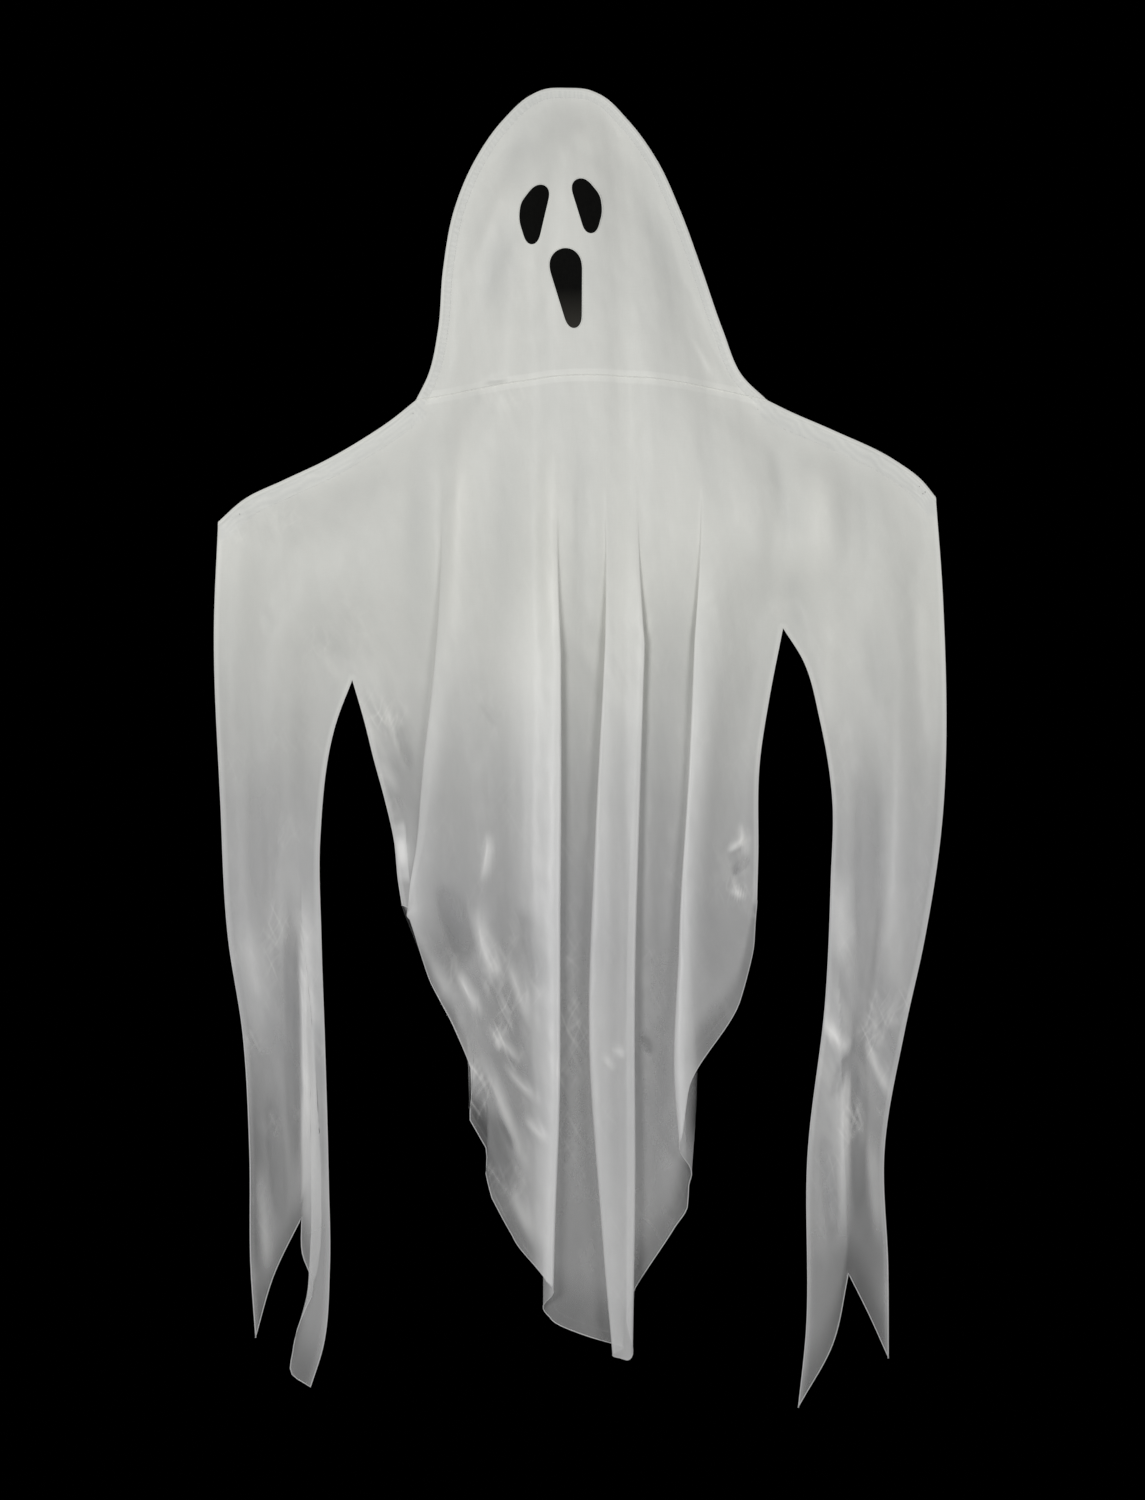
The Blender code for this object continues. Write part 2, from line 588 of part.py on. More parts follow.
def body_layer(line, place, side):
    """All patches of the front or the back of gown and sleeves."""
    front = side < 0
    lines = sewn_edges(line)
    folds = SOFT_FOLDS if front else BACK_FOLDS
    stations = GOWN_STATIONS if front else BACK_STATIONS
    pleats = FRONT_PLEATS if front else (NO_PLEAT,)
    hem_share = 1.0 if front else BACK_SHORTER
    grids = []
    for arm in ("left", "right"):
        for points in sleeve_patches(line, place, arm, SLEEVE_ROWS):
            grids.append(set_back(points, lines, folds, side))
    for points, layer in torso_patches(line, place, stations, hem_share, pleats):
        grids.append(set_back(points, lines, folds, side, layer))
    return grids


def main():
    """Build every piece."""
    for old in list(bpy.data.objects):
        bpy.data.objects.remove(old, do_unlink=True)
    pieces = bpy.data.collections.new("hanging_ghost")
    cutters = bpy.data.collections.new("cutters")
    for collection in (pieces, cutters):
        bpy.context.scene.collection.children.link(collection)
    cloth = surface("sheer_cloth", PEARL_CLOTH)
    black = surface("black_cloth", BLACK_CLOTH)
    steel = surface("steel_wire", STEEL)

    place = corners()
    line = outlines(place)
    lines = sewn_edges(line)
    flat_hood = hood_grid(line)
    front_hood = set_back(flat_hood, lines, SOFT_FOLDS, -1)
    hood = cloth_object("hood_front", [front_hood], cloth, pieces)
    cut_openings(hood, cutters)
    cloth_object("hood_back", [set_back(flat_hood, lines, BACK_FOLDS, 1)], cloth, pieces)
    backing = backing_block(front_hood) + (0, CLOTH + 2 * CLEARANCE, 0)
    cloth_object("face_backing", [backing], black, pieces)
    cloth_object("body_front", body_layer(line, place, -1), cloth, pieces)
    cloth_object("body_back", body_layer(line, place, 1), cloth, pieces)
    hoop, bow = wire_paths(line, place)
    wire_object("hood_hoop", hoop, steel, pieces)
    wire_object("shoulder_bow", bow, steel, pieces)


main()
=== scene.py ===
"""Looks of the life-size hanging ghost: fine cloth, hems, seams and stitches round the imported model.

Metres, +Z up. The front faces -Y and the origin is the crown of the hood. Each sheet of cloth is a
grid over its flat pattern: the pattern gives x and z, and y is the distance that the cloth stands
off the plane in which the layers are sewn together.
"""

import math

import bpy
import numpy as np
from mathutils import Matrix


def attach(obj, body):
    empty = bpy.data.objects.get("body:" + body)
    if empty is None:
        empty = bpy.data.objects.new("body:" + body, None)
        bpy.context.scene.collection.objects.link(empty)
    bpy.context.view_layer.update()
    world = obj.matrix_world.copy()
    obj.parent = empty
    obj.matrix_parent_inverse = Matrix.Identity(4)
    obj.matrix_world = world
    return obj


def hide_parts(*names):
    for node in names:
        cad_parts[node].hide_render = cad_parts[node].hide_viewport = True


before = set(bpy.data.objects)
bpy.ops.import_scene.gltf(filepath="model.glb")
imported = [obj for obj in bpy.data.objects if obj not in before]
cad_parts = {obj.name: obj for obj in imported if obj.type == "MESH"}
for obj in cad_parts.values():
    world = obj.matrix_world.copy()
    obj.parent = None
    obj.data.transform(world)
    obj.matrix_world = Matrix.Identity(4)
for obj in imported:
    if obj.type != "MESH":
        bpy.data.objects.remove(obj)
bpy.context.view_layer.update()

# Corners of the flat pattern, as in the part: x, the corner above that z is taken from, and how far
# below it the corner lies
CORNERS = {
    "neck_left": (-0.246, "crown", 0.505),
    "neck_right": (0.322, "crown", 0.505),
    "shoulder_left": (-0.566, "neck_left", 0.197),
    "shoulder_right": (0.595, "neck_right", 0.157),
    "armpit_left": (-0.349, "shoulder_left", 0.256),
    "armpit_right": (0.348, "shoulder_right", 0.212),
    "tip_left_outer": (-0.506, "shoulder_left", 1.320),
    "tip_left_inner": (-0.416, "tip_left_outer", 0.080),
    "tip_right_outer": (0.519, "shoulder_right", 1.393),
    "tip_right_inner": (0.372, "tip_right_outer", 0.080),
    "notch_left": (-0.430, "tip_left_outer", -0.197),
    "notch_right": (0.453, "tip_right_outer", -0.139),
    "hem_left": (-0.269, "armpit_left", 0.364),
    "hem_right": (0.306, "armpit_right", 0.440),
}
HEM_DROP = 0.735

# Edges of the pattern: both corners, then the bowed points between them as a share along and a
# share of the length to the side
EDGES = {
    "arch_left": ("crown", "neck_left", (
        (0.037, 0.0635), (0.065, 0.087), (0.165, 0.128), (0.304, 0.150), (0.46, 0.141),
        (0.629, 0.094), (0.791, 0.031), (0.92, 0.0))),
    "arch_right": ("crown", "neck_right", (
        (0.034, -0.044), (0.064, -0.065), (0.16, -0.09), (0.293, -0.098), (0.441, -0.078),
        (0.609, -0.041), (0.777, -0.001), (0.907, 0.021))),
    "neck": ("neck_left", "neck_right", (
        (0.182, -0.028), (0.41, -0.060), (0.638, -0.057), (0.809, -0.037))),
    "shoulder_left": ("neck_left", "shoulder_left", (
        (0.137, -0.017), (0.292, -0.022), (0.465, -0.017), (0.663, 0.005), (0.859, 0.024))),
    "shoulder_right": ("neck_right", "shoulder_right", (
        (0.115, -0.007), (0.37, -0.035), (0.723, -0.06), (0.894, -0.04))),
    "outer_left": ("shoulder_left", "tip_left_outer", (
        (0.129, 0.011), (0.34, 0.013), (0.512, 0.011), (0.623, -0.001), (0.77, -0.003),
        (0.917, 0.002))),
    "outer_right": ("shoulder_right", "tip_right_outer", (
        (0.119, -0.015), (0.397, -0.027), (0.514, -0.015), (0.619, 0.002), (0.759, 0.018),
        (0.898, 0.006))),
    "inner_left": ("armpit_left", "tip_left_inner", (
        (0.057, 0.018), (0.228, 0.032), (0.368, 0.022), (0.508, 0.009), (0.705, -0.008),
        (0.831, -0.017), (0.944, -0.014))),
    "inner_right": ("armpit_right", "tip_right_inner", (
        (0.042, -0.025), (0.119, -0.045), (0.222, -0.059), (0.325, -0.055), (0.478, -0.045),
        (0.67, -0.019), (0.914, -0.011))),
    "side_left": ("armpit_left", "hem_left", (
        (0.180, -0.012), (0.359, -0.017), (0.539, -0.026), (0.717, -0.027), (0.890, -0.007))),
    "side_right": ("armpit_right", "hem_right", ((0.267, 0.026), (0.489, 0.038), (0.854, 0.010))),
    "cuff_left": ("tip_left_outer", "notch_left", ((0.5, -0.040),)),
    "fork_left": ("notch_left", "tip_left_inner", (
        (0.2, 0.010), (0.44, -0.041), (0.56, 0.018), (0.67, 0.064), (0.79, 0.094), (0.906, 0.110))),
    "cuff_right": ("tip_right_outer", "notch_right", ((0.5, 0.010),)),
    "fork_right": ("notch_right", "tip_right_inner", ((0.5, -0.070),)),
}
# Which side of each sewn edge the cloth lies on; a wire runs in the casing of the first three
INWARD = {"arch": 1.0, "shoulder_left": -1.0, "shoulder_right": 1.0, "outer_left": -1.0,
          "outer_right": 1.0, "inner_left": 1.0, "inner_right": -1.0, "side_left": -1.0,
          "side_right": 1.0}
CASING_EDGES = tuple(INWARD)[:3]
PLAIN_EDGES = tuple(INWARD)[3:]
# Where the corners of the hood's grid lie along the arch
ARCH_CORNERS = (0.36, 0.64)
HOOD_EDGE_SHARE = 0.045

# Gown between the side seams. Each row: how many steps from the row before, share across the neck,
# share across the chest, share across the hem, share of the hem's drop, and the layer reached
GOWN_STATIONS = (
    (0, 0.000, 0.000, 0.000, 0.000, 0.5),
    (2, 0.068, 0.186, 0.010, 0.003, 0),
    (5, 0.103, 0.218, 0.024, 0.032, 1),
    (3, 0.150, 0.268, 0.094, 0.187, 1),
    (4, 0.205, 0.316, 0.180, 0.363, 1),
    (4, 0.265, 0.362, 0.250, 0.556, 1),
    (3, 0.325, 0.408, 0.323, 0.726, 1),
    (2, 0.387, 0.462, 0.406, 0.817, 1),
    (5, 0.416, 0.499, 0.420, 0.908, 0),
    (3, 0.515, 0.577, 0.600, 0.969, 0),
    (5, 0.549, 0.606, 0.614, 0.989, 1),
    (1, 0.600, 0.656, 0.632, 0.994, 1),
    (5, 0.634, 0.688, 0.649, 0.859, 0),
    (2, 0.710, 0.738, 0.763, 0.716, 0),
    (1, 0.760, 0.765, 0.803, 0.664, 0),
    (1, 0.801, 0.784, 0.806, 0.616, 0),
    (5, 0.829, 0.817, 0.785, 0.507, 1),
    (1, 0.853, 0.845, 0.800, 0.413, 1),
    (2, 0.895, 0.900, 0.948, 0.212, 1),
    (1, 0.935, 0.945, 0.989, 0.095, 1),
    (2, 1.000, 1.000, 1.000, 0.000, 0.5),
)
BACK_STATIONS = (
    (0, 0.000, 0.000, 0.000, 0.000, 0.5),
    (2, 0.120, 0.130, 0.096, 0.206, 0.5),
    (2, 0.250, 0.260, 0.242, 0.542, 0.5),
    (1, 0.360, 0.370, 0.315, 0.732, 0.5),
    (1, 0.430, 0.440, 0.411, 0.852, 0.5),
    (1, 0.470, 0.480, 0.434, 0.914, 0.5),
    (2, 0.560, 0.580, 0.637, 0.976, 0.5),
    (1, 0.620, 0.630, 0.659, 0.859, 0.5),
    (1, 0.700, 0.710, 0.766, 0.719, 0.5),
    (1, 0.750, 0.760, 0.806, 0.620, 0.5),
    (1, 0.800, 0.810, 0.794, 0.400, 0.5),
    (2, 0.900, 0.900, 0.946, 0.220, 0.5),
    (1, 1.000, 1.000, 1.000, 0.000, 0.5),
)
# Half the lap of each pleat at the heights below, from left to right
PLEAT_HEIGHTS = (0.0, 0.3, 0.6, 0.85, 1.0)
FRONT_PLEATS = (
    (0.013, 0.012, 0.010, 0.007, 0.003),
    (0.009, 0.016, 0.018, 0.013, 0.0105),
    (0.009, 0.0255, 0.0367, 0.0225, 0.0106),
    (0.009, 0.010, 0.010, 0.009, 0.007),
    (0.011, 0.004, 0.0086, 0.0165, 0.006),
)
BACK_PLEATS = ((0.0, 0.0, 0.0, 0.0, 0.0),)
# Sideways waves of the left flap's hem: depth below the hem's end, and shift. They reach this share
# across the hem
HEM_WAVES = ((0.120, 0.0), (0.184, 0.010), (0.254, 0.014), (0.290, 0.005), (0.338, -0.013),
             (0.388, 0.002), (0.427, -0.0115), (0.463, -0.014), (0.526, -0.003), (0.600, 0.0))
WAVY_SHARE = 0.40
# How far the pleats have opened at the chest, and the power by which they begin above it
CHEST_OPENING = 0.52
YOKE_START = 2.6
BACK_SHORTER = 0.99

# How far the layers stand off the sewn plane
SEAM_BAND = 0.012
SEAM_SOFTNESS = 0.085
FULLNESS = 0.055
PLEAT_DEPTH = 0.046
SOFT_FOLD_DEPTH = 0.014
SOFT_FOLD_WIDTH = 0.030
SOFT_FOLDS = (-0.212, -0.060, 0.090, 0.345, 0.465)
BACK_FOLDS = (-0.200, -0.120, -0.035, 0.055, 0.150, 0.235)
SEWN_REST = 0.0005

# The casing that holds the wire along the arch and the shoulders
WIRE_INSET = 0.0040
WIRE_REST = 0.0026
WIRE_REST_WIDTH = 0.0034
EYE_RADIUS = 0.007
BOW_STEPS = 14
# The cloth stands off within this distance of a neck corner, where two wires meet
NECK_PAD = 0.017
ARCH_CASING = 0.016
SHOULDER_CASING = 0.030
PUCKER_DEPTH = 0.0011
PUCKER_PITCH = 0.013
# Where across the casing the puckers lie and how far they spread, as shares of its width, and how
# far their beat wanders
PUCKER_LINE = 0.8
PUCKER_SPREAD = 0.35
PUCKER_WANDER = 0.004
# Creases and waves begin this far from a seam and are whole after the second distance
FREE_FROM = 0.004
FREE_WITHIN = 0.030
# Small random waves of the cloth: height, wavelength and how many times longer they are downwards
WAVES = ((0.0012, 0.075, 5.0), (0.0003, 0.024, 2.5))

# Face openings: each is the line stretched round its circles of (across, drop, radius)
LEFT_EYE = ((-0.0455, 0.1765, 0.0156), (-0.0590, 0.1975, 0.0175), (-0.0628, 0.2170, 0.0152),
            (-0.0577, 0.2478, 0.0109))
RIGHT_EYE = ((0.0214, 0.1682, 0.0154), (0.0352, 0.1870, 0.0172), (0.0392, 0.2060, 0.0152),
             (0.0365, 0.2316, 0.0112))
MOUTH = ((-0.0040, 0.2918, 0.0260), (0.0097, 0.3845, 0.0117))
FACE_MARGIN = 0.010
FACE_BACKING_GAP = 0.0016
PATCH_COLUMNS = 60
PATCH_ROWS = 90
PATCH_TAPER = 0.16
OUTLINE_POINTS = 96
OUTLINE_ROUNDING = 4
OPENING_GROWTH = 0.0015

# Creases in millimetres: the two ends (x0, z0, x1, z1), the width and the height; a valley has a
# height below 0
HOOD_CREASES = (
    (-62, -36, -112, -190, 16, -6), (-102, -181, -136, -392, 20, -7), (-65, -52, -159, -327, 14, 4),
    (100, -100, 197, -392, 20, -4), (214, -359, 262, -481, 5, -2.5), (197, -392, 239, -472, 5, 2),
    (-142, -479, -91, -474, 4, -3), (-133, -505, -100, -485, 4, 3), (116, -343, 129, -408, 6, -1.5),
    (11, -52, 52, -116, 18, 3),
)
CHEST_CREASES = (
    (-238, -513, -252, -960, 18, -7), (-165, -497, -195, -960, 14, 7),
    (-31, -505, -30, -980, 14, 6), (-98, -505, -108, -960, 14, -4), (80, -505, 92, -960, 14, 3),
    (22, -505, 20, -960, 12, -5), (330, -553, 362, -764, 12, -6), (362, -764, 369, -893, 12, -6),
    (411, -570, 401, -828, 18, 6), (476, -594, 482, -828, 10, -4), (482, -828, 508, -1023, 16, -5),
    (573, -731, 586, -1100, 14, 4), (424, -800, 420, -1060, 12, 4), (214, -505, 233, -699, 18, -3),
    (278, -537, 282, -828, 18, 2),
)
DRAG_CREASES = (
    (116, -906, 155, -838, 5, 1.6), (71, -974, 100, -917, 5, 1.4), (141, -974, 168, -893, 5, -1.4),
    (214, -845, 246, -812, 5, 1.3), (-328, -982, -275, -1063, 6, -3),
    (-307, -990, -265, -1087, 5, 3), (-285, -1014, -252, -1112, 5, -3),
    (-317, -1071, -269, -1152, 6, 2.5), (-275, -1204, -265, -1269, 7, 6),
    (-385, -893, -349, -951, 5, -3), (-405, -909, -361, -974, 5, 3), (327, -828, 349, -874, 5, 2.5),
    (359, -845, 395, -893, 5, -2), (-498, -828, -474, -893, 8, -2.5),
    (-142, -990, -110, -1039, 6, -2),
)
FLAP_CREASES = (
    (-183, -1414, -139, -1502, 6, 6), (-191, -1521, -146, -1621, 6, 6),
    (-129, -1514, -68, -1579, 5, 5), (-110, -1569, -42, -1644, 5, 4),
    (-100, -1395, -58, -1524, 7, 4), (-210, -1281, -159, -1419, 12, -5),
    (-142, -1540, -58, -1767, 7, 5), (-159, -1613, -74, -1815, 8, -5),
    (-74, -1654, -32, -1705, 5, 4), (-123, -1197, -139, -1288, 5, 4.5),
    (-159, -1314, -110, -1459, 9, 4), (-78, -1314, -37, -1476, 10, -3),
    (-110, -1734, -45, -1880, 8, 3), (-118, -1654, -78, -1718, 6, -3),
    (-223, -1395, -183, -1492, 8, 3),
)
KNOT_CREASES = (
    (256, -1236, 298, -1210, 4, 6), (265, -1272, 294, -1249, 4, -5), (262, -1294, 291, -1311, 4, 5),
    (278, -1184, 288, -1246, 4, 4), (52, -1557, 78, -1589, 4, 2), (71, -1548, 94, -1566, 5, 2.5),
    (116, -1524, 136, -1565, 5, -2),
)
SLEEVE_CREASES = (
    (-430, -1298, -421, -1815, 9, 6), (-450, -1298, -438, -1783, 9, -5),
    (-492, -820, -500, -1420, 20, -2.5), (-531, -1314, -495, -1573, 14, 3),
    (-485, -1605, -463, -1864, 8, -4), (-505, -1718, -485, -1945, 7, 4),
    (-408, -1476, -398, -1799, 6, -3), (448, -1459, 443, -1909, 8, 3),
    (466, -1459, 466, -1864, 8, -5), (405, -1492, 453, -1576, 7, 5),
    (460, -1540, 424, -1644, 7, -4), (482, -1540, 524, -1644, 7, 4),
    (480, -960, 476, -1580, 16, -2.2), (534, -960, 522, -1560, 14, 2),
    (411, -1670, 430, -1880, 8, -4), (485, -1670, 505, -1896, 8, 4),
    (434, -1249, 440, -1443, 12, 3),
)
GOWN_CREASES = CHEST_CREASES + DRAG_CREASES + FLAP_CREASES + KNOT_CREASES + SLEEVE_CREASES

# How much of the dark one layer hides, by height
COVER_HEIGHTS = (-2.20, -1.75, -1.411, -1.152, -0.926, -0.731, -0.586, 0.0)
COVER_SHARES = (0.26, 0.31, 0.32, 0.41, 0.65, 0.83, 0.91, 0.93)
# Places where it hides more or less: (x, z, half width, half height, times as much)
COVER_SPOTS = (
    (-0.150, -1.690, 0.050, 0.130, 0.72),
    (-0.086, -1.600, 0.036, 0.240, 0.78),
    (-0.195, -1.410, 0.030, 0.070, 0.75),
    (-0.275, -1.120, 0.036, 0.120, 0.75),
    (-0.434, -1.060, 0.022, 0.140, 0.80),
    (-0.560, -1.060, 0.030, 0.150, 0.84),
    (-0.525, -1.800, 0.045, 0.230, 0.35),
    (-0.440, -1.780, 0.020, 0.200, 0.85),
    (0.215, -1.770, 0.030, 0.120, 0.40),
    (0.490, -1.830, 0.040, 0.160, 0.65),
    (0.445, -1.960, 0.060, 0.180, 0.70),
    (0.470, -1.340, 0.100, 0.220, 1.20),
    (-0.480, -1.300, 0.060, 0.160, 1.20),
)
# Extra layers gathered at the open edge of each pleat, and how far they reach at chest and at hem;
# they begin a little outside the edge
GATHER_OUTSIDE = 0.002
GATHERS = ((1.4, 0.026, 0.020), (3.4, 0.060, 0.022), (1.2, 0.024, 0.030), (1.4, 0.026, 0.020),
           (2.4, 0.030, 0.022))
# Cloth folded double beside a line: its two ends (x, z), how far it reaches (minus to the left of
# the line as it runs down) and the extra layers
FOLD_STRIPS = (
    ((-0.431, -1.270), (-0.429, -1.870), 0.034, 1.5),
    ((0.437, -1.400), (0.452, -1.900), -0.050, 1.0),
    ((-0.265, -1.180), (-0.256, -1.290), -0.020, 2.0),
)
STRIP_TAPER = 0.18
STRIP_EDGE = 0.002
# Extra layers that a crease of this height adds, and the fewest and most it can add. It begins at
# one height and is whole a little lower
RIDGE_LAYERS = 2.2
RIDGE_HEIGHT = 0.005
RIDGE_RANGE = (-0.5, 3.2)
RIDGES_FROM = -0.90
RIDGES_GROW = 0.35
# Share of a crease over which each end fades, and how much wider its gentle flank is
CREASE_TAPER = 0.42
LONG_FLANK = 1.7
# A lap narrower than this hides nothing
LAP_SEEN = 0.007
# Extra layers for each time more cloth that a slope shows, and the steepest slope counted
SLOPE_SHARE = 1.3
STEEPEST = 2.6
# Share of the back layer's length over which it thins out towards its hem
BACK_FADE = 0.09
# Extra layers in the casing, in the turned edge of a seam and in that of the neck seam, how wide
# those turned edges are, and the width over which each begins
CASING_LAYERS = 0.9
SEAM_LAYERS = 0.5
NECK_LAYERS = 0.9
SEAM_ALLOWANCE = 0.007
NECK_ALLOWANCE = 0.010
CRISP = 0.003
LESS_CRISP = 0.004
MOST_COVER = 0.985
LEAST_LAYERS = 0.3

# Places where the cloth is finely crumpled, where the material paints glints and soft shade of the
# crumples: (x, z, half width, half height, how much)
CRUMPLES = (
    (0.460, -1.570, 0.090, 0.150, 1.0),
    (-0.130, -1.560, 0.090, 0.200, 0.9),
    (0.272, -1.245, 0.030, 0.060, 1.0),
    (-0.300, -1.050, 0.050, 0.120, 0.8),
    (-0.450, -1.480, 0.080, 0.250, 0.5),
    (-0.360, -0.900, 0.060, 0.080, 0.5),
    (-0.500, -0.700, 0.080, 0.050, 0.5),
    (-0.120, -0.500, 0.050, 0.035, 0.6),
    (0.000, -1.550, 0.030, 0.160, 0.6),
    (0.130, -1.530, 0.030, 0.120, 0.6),
    (0.080, -0.930, 0.100, 0.100, 0.4),
)
CRUMPLE_EVERYWHERE = 0.10

# Tone of the cloth: its middle, how much a metre of crease height paints it lighter on the ridges and
# darker in the valleys (painted highlight and shade) and within what range, how much painted shade
# greys the casing and the ticks of its puckers, and how much lighter the neck seam is
TONE_MIDDLE = 0.40
CREASE_PAINTED_LIGHT = 42.0
TONE_RANGE = (-0.40, 0.36)
CASING_PAINTED_SHADE = 0.16
PUCKER_PAINTED_SHADE = 0.22
GATHER_PITCH = 0.0075
NECK_LIGHT = 0.08
NECK_BAND = 0.0055
TONE_WANDER = 0.05

# Grid density
HOOD_STEPS = 120
EDGE_STEPS = 10
GOWN_COLUMNS = 250
BACK_COLUMNS = 110
SLEEVE_COLUMNS = 50
YOKE_STEPS = 74
YOKE_EDGE_SHARE = 0.042
SKIRT_STEPS = 172
SEAM_SAMPLES = 60
COLUMN_SAMPLES = 4000
OUTER_SAMPLES = 400

# Hems, seams and stitches
HEM_RADIUS = 0.0008
SEAM_RADIUS = 0.0010
NECK_SEAM_RADIUS = 0.0010
RIM_RADIUS = 0.0009
TUBE_SIDES = 6
STITCH_LENGTH = 0.0030
STITCH_PITCH = 0.0042
STITCH_RADIUS = 0.00030
STITCH_SAMPLES = 600
HEM_COVER = 0.55
BACK_HEM_COVER = 0.04
RIM_COVER = 0.97
SEAM_ROLLED_LAYERS = 2.2
SEAM_POINTS = 160
NECK_POINTS = 240
# How far the neck seam and the rims of the openings stand proud of the cloth
NECK_PROUD = 0.0004
RIM_PROUD = 0.0002

# Floor, lamps and room. Each lamp: its place, its size and its power
FLOOR_RADIUS = 0.55
FLOOR_HEIGHT = -2.45
FLOOR_SIDES = 96
LAMP_AIM = (0.0, 0.0, -1.1)
LAMPS = {
    "key_lamp": ((-2.2, -4.6, -0.7), 2.2, 124.0),
    "fill_lamp": ((2.6, -4.2, -1.2), 2.2, 71.0),
    "back_lamp": ((0.8, 3.6, -0.6), 2.0, 70.0),
}
DIM_ROOM = (0.22, 0.22, 0.23, 1)
BLACK = (0.0, 0.0, 0.0, 1)

# Camera: the photo is 1500 pixels tall and 1.618 mm of the object fills one of them
CAMERA_DISTANCE = 6.0
VIEW_HEIGHT = 2.427
VIEW_CENTRE = (0.0073, -1.0711)
SENSOR = 36.0


def corners():
    """Named corners of the front view as (x, z) arrays: each z is that of the corner above, less a drop."""
    places = {"crown": np.zeros(2)}
    for name, (x, above, drop) in CORNERS.items():
        places[name] = np.array((x, places[above][1] - drop))
    return places


def edge(start, end, shape):
    """Both corners with the bowed points between them."""
    run = end - start
    side = np.array((run[1], -run[0]))
    bowed = [start + along * run + across * side for along, across in shape]
    return np.array([start, *bowed, end])


def lengths(points):
    """Length walked along a line of points up to each of them."""
    steps = np.linalg.norm(np.diff(points, axis=0), axis=1)
    return np.concatenate(([0.0], np.cumsum(steps)))


def cubic(knots, values, slopes, at):
    """Curve through the values at the knots that has the given slope at each of them."""
    span = np.clip(np.searchsorted(knots, at, side="right") - 1, 0, len(knots) - 2)
    step = knots[span + 1] - knots[span]
    t = (at - knots[span]) / step
    if values.ndim > 1:
        step, t = step[:, None], t[:, None]
    return (values[span] * (2 * t**3 - 3 * t**2 + 1) + values[span + 1] * (3 * t**2 - 2 * t**3)
            + slopes[span] * step * (t**3 - 2 * t**2 + t) + slopes[span + 1] * step * (t**3 - t**2))


def along(points, shares):
    """Points of the smooth curve through the given ones, at shares of its chord length."""
    knots = lengths(points)
    knots = knots / knots[-1]
    return cubic(knots, points, np.gradient(points, knots, axis=0), shares)


def outlines():
    """Every edge of the flat pattern as a list of points; the arch is its two halves joined."""
    lines = {name: edge(place[start], place[end], shape) for name, (start, end, shape) in EDGES.items()}
    lines["arch"] = np.concatenate((lines["arch_left"][::-1], lines["arch_right"][1:]))
    return lines


place = corners()
line = outlines()


def patch(top, low, left, right, across, down):
    """Grid between four sampled edges: both ruled surfaces added, less the one through the corners."""
    u = across[None, :, None]
    v = down[:, None, None]
    ruled = (1 - v) * top[None] + v * low[None] + (1 - u) * left[:, None] + u * right[:, None]
    twist = ((1 - u) * (1 - v) * top[0] + u * (1 - v) * top[-1]
             + (1 - u) * v * low[0] + u * v * low[-1])
    return ruled - twist


def at_lengths(points, walked, at):
    """Points of a line at given lengths along it."""
    return np.column_stack([np.interp(at, walked, points[:, k]) for k in range(points.shape[1])])


def running(points, toward):
    """Unit direction along a line in the front view, and the one square to it on the cloth's side."""
    run = unit(np.gradient(points, axis=0))
    return run, toward * np.column_stack((run[:, 1], -run[:, 0]))


def foot(points, start, end):
    """Share along a straight line of the spot nearest to each point, and the distance to it."""
    run = end - start
    t = np.clip(((points - start) @ run) / (run @ run), 0, 1)
    return t, np.linalg.norm(points - start - t[..., None] * run, axis=-1)


def nearest(points, shape):
    """Distance in the front view to a smooth curve, and the length along it of the nearest point."""
    fine = along(shape, np.linspace(0, 1, SEAM_SAMPLES))
    walked = lengths(fine)
    gap = np.full(points.shape[:-1], np.inf)
    length = np.zeros(points.shape[:-1])
    for k, (start, end) in enumerate(zip(fine[:-1], fine[1:])):
        t, here = foot(points, start, end)
        closer = here < gap
        gap = np.where(closer, here, gap)
        length = np.where(closer, walked[k] + t * (walked[k + 1] - walked[k]), length)
    return gap, length


def beside(points, start, end):
    """Share along a straight line, and the distance to the right of it as it runs."""
    run = np.subtract(end, start)
    length = np.linalg.norm(run)
    away = points - np.array(start)
    return away @ run / length**2, away @ np.array((run[1], -run[0])) / length


def smooth_step(t):
    """0 below 0 and 1 above 1, with 3t^2 - 2t^3 between."""
    t = np.clip(t, 0, 1)
    return t * t * (3 - 2 * t)


def bump(distance, width):
    """1 at distance 0, falling as exp(-(distance / width)^2)."""
    return np.exp(-(distance / width) ** 2)


def spot(across, height, x, z, half_width, half_height):
    """1 at (x, z), falling as exp(-(dx / half width)^2 - (dz / half height)^2)."""
    return bump(across - x, half_width) * bump(height - z, half_height)


def wander(points, wavelength, stretch, seed, waves=8):
    """Smooth random height of about -1 to 1.

    A sum of plane waves with directions, phases and lengths drawn from the seed; stretch draws
    them out along z.
    """
    draw = np.random.default_rng(seed)
    turn = draw.uniform(0, math.tau, waves)
    phase = draw.uniform(0, math.tau, waves)
    rate = math.tau / wavelength * draw.uniform(0.6, 1.5, waves)
    x, z = points[..., 0], points[..., 1] / stretch
    total = sum(np.sin(k * (x * math.cos(a) + z * math.sin(a)) + p)
                for k, a, p in zip(rate, turn, phase))
    return total / math.sqrt(waves)


def faded(t, taper):
    """1 along a line, fading over the taper towards both of its ends."""
    return smooth_step((0.5 - np.abs(t - 0.5)) / taper)


def creased(points, creases):
    """Height of all creases: each is a ridge along its line, steeper on one flank, faded at the ends."""
    height = np.zeros(points.shape[:-1])
    for crease in creases:
        x0, z0, x1, z1, width, depth = np.array(crease) / 1000
        t, off = beside(points, (x0, z0), (x1, z1))
        height += depth * faded(t, CREASE_TAPER) * bump(off, np.where(off > 0, width, LONG_FLANK * width))
    return height


